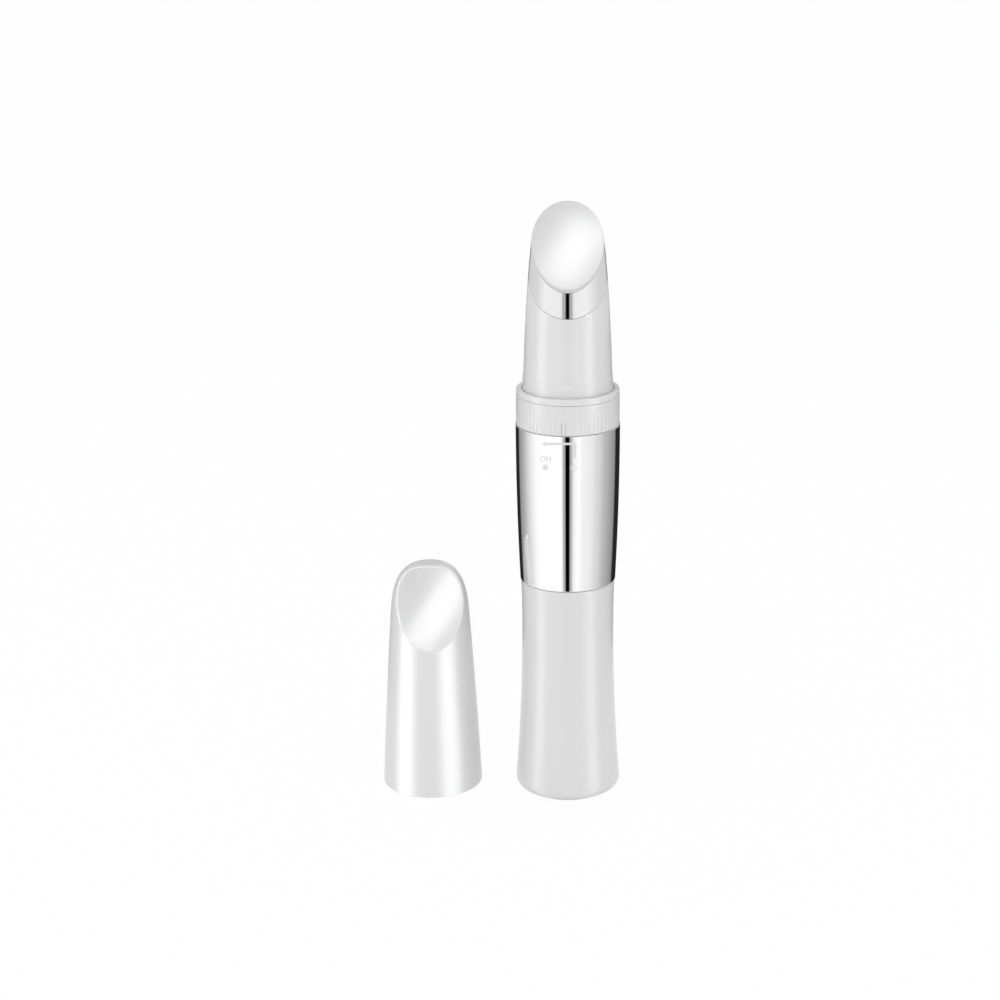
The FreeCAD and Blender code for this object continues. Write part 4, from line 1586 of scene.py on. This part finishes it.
BODY_WHITES = (GRIP_WHITE, GLOSS_WHITE, RING_WHITE)
CAP_AIM = (-0.0326, 0.003, 0.03)
GLEAMS = (
    Gleam("left_strip", BODY_WHITES, level=3.0, azimuth=-70),
    Gleam("right_strip", BODY_WHITES, level=3.0, azimuth=58),
    Gleam(
        "cap_left_strip", (CAP_WHITE,), level=9.0, azimuth=-64, size=(0.19, 1.0), aim=CAP_AIM
    ),
    Gleam(
        "cap_right_strip", (CAP_WHITE,), level=9.0, azimuth=47, size=(0.2, 1.0), aim=CAP_AIM
    ),
    Gleam(
        "face_softbox", (WARM_GLAZE,), level=12.0, azimuth=6, elevation=71,
        size=(0.06, 0.13), tilt=-30, aim=(0.0, 0.0, 0.1336),
    ),
    Gleam(
        "dish_strip", (CAP_FACE_WHITE,), level=8.0, azimuth=-5, elevation=30,
        size=(0.12, 0.42), tilt=-29, aim=(-0.0326, -0.003, 0.047),
    ),
)


@dataclass(frozen=True)
class Tent:
    """A round white tent that the chrome mirrors, with a black slot in front."""

    name: str
    bottom: float
    top: float
    stops: tuple[Point2, ...]        # angle from the front towards the right, and brightness


TENTS = (
    Tent("lower_tent", 0.0, 0.094, (
        (-180, 0.85), (-167, 0.75), (-161, 0.02), (-133, 0.02), (-128, 0.3), (-111, 0.44),
        (-96, 0.69), (-83, 0.89), (-71, 1.04), (-60, 1.08), (-15, 1.08), (-11.3, 0.85),
        (-9.4, 0.45), (-6, 0.42), (-4.6, 0.0), (3.2, 0.0), (4.6, 0.42), (7.5, 0.48),
        (10.5, 0.8), (14.5, 0.98), (23, 1.08), (32, 0.95), (51, 0.89), (61, 0.77),
        (72, 0.69), (84, 0.53), (97, 0.44), (113, 0.33), (121, 0.28), (126, 0.02),
        (161, 0.02), (180, 0.85),
    )),
    Tent("upper_tent", 0.094, 0.3, (
        (-180, 0.7), (-172, 0.6), (-169, 0.03), (-160, 0.03), (-152, 0.5), (-140, 0.66),
        (-95, 0.72), (-80, 0.8), (-66, 0.93), (-20, 0.9), (-15.5, 0.8), (-13.5, 0.45),
        (-6.2, 0.42), (-5.2, 0.0), (3.7, 0.0), (4.7, 0.42), (11.5, 0.48), (13.5, 0.78),
        (20, 0.9), (50, 0.93), (66, 0.85), (80, 0.76), (95, 0.7), (140, 0.66),
        (152, 0.45), (160, 0.03), (169, 0.03), (180, 0.7),
    )),
)
SIGHT_RAYS = ("Is Glossy Ray", "Is Transmission Ray")
TENT_HIDDEN_FROM = ("camera", "diffuse", "transmission", "volume_scatter", "shadow")


def seen_directly(tree: Tree) -> Socket:
    """Mask the rays that see a thing directly, in a mirror or through glass.

    Args:
        tree: The material's or world's tree.

    Returns:
        A socket that is 1 for those rays.
    """
    path = add_node(tree, "ShaderNodeLightPath")
    mask = path.outputs["Is Camera Ray"]
    for name in SIGHT_RAYS:
        mask = calculate(tree, "MAXIMUM", mask, path.outputs[name])
    return mask


@dataclass
class Studio:
    """The floor, the lights, the tents and the camera, with sizes in metres."""

    floor_size: float = 6.0
    floor_drop: float = 0.0001
    floor_colour: Colour = (0.9, 0.9, 0.9)
    floor_lift: float = 0.95         # share of plain white that the camera sees in the floor
    ambient: float = 0.88
    tent_r: float = 0.1
    key_place: Point3 = (-0.15, -0.8, 0.9)
    key_aim: Point3 = (0.0, 0.0, 0.075)
    key_size: Point2 = (0.6, 0.6)
    key_level: float = 2.0
    gleam_distance: float = 0.25
    camera_place: Point3 = (0.0, -0.50826, 0.23166)
    camera_tilt: float = 72.5
    lens: float = 82.8
    shift: float = -0.0678

    def floor(self) -> None:
        """Lay the pale floor, which keeps the shadow."""
        material = blank_material("pale_floor")
        tree = material.node_tree
        matt = add_node(tree, "ShaderNodeBsdfDiffuse", {"Color": (*self.floor_colour, 1.0)})
        white = add_node(tree, "ShaderNodeEmission", {"Color": WHITE, "Strength": 1.0})
        share = calculate(tree, "MULTIPLY", seen_directly(tree), self.floor_lift)
        inputs = dict(enumerate((share, matt.outputs[0], white.outputs[0])))
        mixed = add_node(tree, "ShaderNodeMixShader", inputs)
        add_node(tree, "ShaderNodeOutputMaterial", {"Surface": mixed.outputs[0]})
        mesh = flat_grid(self.floor_size, self.floor_size, 1, 1)
        floor = mesh_object("floor", mesh, material)
        floor.location.z = -self.floor_drop

    def world(self) -> None:
        """Fill the room with soft light, in front of a white background."""
        world = bpy.data.worlds.new("soft_room")
        bpy.context.scene.world = world
        world.use_nodes = True
        tree = world.node_tree
        tree.nodes.clear()
        extra = calculate(tree, "MULTIPLY", seen_directly(tree), 1.0 - self.ambient)
        inputs = {"Color": WHITE, "Strength": calculate(tree, "ADD", extra, self.ambient)}
        light = add_node(tree, "ShaderNodeBackground", inputs)
        add_node(tree, "ShaderNodeOutputWorld", {"Surface": light.outputs[0]})

    def tent_material(self, tent: Tent) -> bpy.types.Material:
        """Make a tent's glow, whose brightness goes by the angle from the front.

        Args:
            tent: The tent.

        Returns:
            The material.
        """
        material = blank_material(tent.name)
        tree = material.node_tree
        where = add_node(tree, "ShaderNodeTexCoord").outputs["Object"]
        split = add_node(tree, "ShaderNodeSeparateXYZ", {"Vector": where})
        front = calculate(tree, "MULTIPLY", split.outputs["Y"], -1.0)
        angle = calculate(tree, "ARCTAN2", split.outputs["X"], front)
        share = add_node(tree, "ShaderNodeMapRange", {
            "Value": angle, "From Min": -math.pi, "From Max": math.pi,
        })
        ramp = add_node(tree, "ShaderNodeValToRGB", {"Fac": share.outputs[0]})
        stops = ramp.color_ramp.elements
        while len(stops) < len(tent.stops):
            stops.new(RAMP_FRONT)
        for stop, (degrees, level) in zip(stops, tent.stops):
            stop.position = degrees / FULL_DEGREES + RAMP_FRONT
            stop.color = (level, level, level, 1.0)
        inputs = {"Color": ramp.outputs["Color"], "Strength": 1.0}
        glow = add_node(tree, "ShaderNodeEmission", inputs)
        add_node(tree, "ShaderNodeOutputMaterial", {"Surface": glow.outputs[0]})
        return material

    def stand_tent(self, tent: Tent) -> None:
        """Stand a tent round the wand, where only the shine of the pieces shows it.

        Args:
            tent: The tent.
        """
        mesh = spun(even_run((self.tent_r, tent.bottom), (self.tent_r, tent.top), 1), False)
        cloth = mesh_object(tent.name, mesh, self.tent_material(tent))
        for kind in TENT_HIDDEN_FROM:
            setattr(cloth, f"visible_{kind}", False)

    def lamp(
        self, name: str, place: Vector, aim: Vector, size: Point2, level: float
    ) -> bpy.types.Object:
        """Hang a rectangular soft light.

        Args:
            name: Its name.
            place: Where it hangs.
            aim: What it points at.
            size: Its width and height.
            level: Its brightness, where 1 is white.

        Returns:
            The light.
        """
        data = bpy.data.lights.new(name, "AREA")
        data.shape = "RECTANGLE"
        data.size, data.size_y = size
        data.energy = level * math.pi * size[0] * size[1]
        lamp = put_in_scene(name, data)
        lamp.location = place
        lamp.rotation_euler = (aim - place).to_track_quat("-Z", "Y").to_euler()
        return lamp

    def hang_gleam(self, gleam: Gleam) -> None:
        """Hang a light that only shows as a soft gleam on the pieces of its finishes.

        Args:
            gleam: The light.
        """
        rise, azimuth = math.radians(gleam.elevation), math.radians(gleam.azimuth)
        side, front = math.sin(azimuth), -math.cos(azimuth)
        direction = Vector((math.cos(rise) * side, math.cos(rise) * front, math.sin(rise)))
        aim = Vector(gleam.aim)
        place = aim + direction * self.gleam_distance
        lamp = self.lamp(gleam.name, place, aim, gleam.size, gleam.level)
        lamp.rotation_euler.rotate_axis("Z", math.radians(gleam.tilt))
        lamp.visible_diffuse = False
        lamp.data.use_shadow = False
        lamp.data.cycles.use_multiple_importance_sampling = False
        lit = {finish.material() for finish in gleam.finishes}
        pieces = bpy.data.collections.new(gleam.name)
        for piece in bpy.context.scene.objects:
            if lit & {slot.material for slot in piece.material_slots}:
                pieces.objects.link(piece)
        lamp.light_linking.receiver_collection = pieces

    def camera(self) -> None:
        """Set the camera."""
        data = bpy.data.cameras.new("camera")
        data.lens = self.lens
        data.shift_x = self.shift
        camera = put_in_scene("camera", data)
        camera.location = self.camera_place
        camera.rotation_euler = (math.radians(self.camera_tilt), 0, 0)
        bpy.context.scene.camera = camera

    def build(self) -> None:
        """Set up the whole studio, after the pieces that its gleams light."""
        bpy.context.scene.view_settings.view_transform = "Standard"
        self.camera()
        self.floor()
        self.world()
        for tent in TENTS:
            self.stand_tent(tent)
        place, aim = Vector(self.key_place), Vector(self.key_aim)
        key = self.lamp("key", place, aim, self.key_size, self.key_level)
        key.visible_glossy = False
        for gleam in GLEAMS:
            self.hang_gleam(gleam)
        LOG.info("studio is ready")


def main() -> None:
    """Build every sub-assembly in order, then the studio."""
    logging.basicConfig(level=logging.INFO, format="%(message)s")
    assemblies = (
        HandleUnit(), PowerCore(), ChromeBarrel(), SwitchRing(), CollarRim(), NoseCone(),
        MassageHead(), Cap(), Studio(),
    )
    for assembly in assemblies:
        assembly.build()


if __name__ == "__main__":
    main()
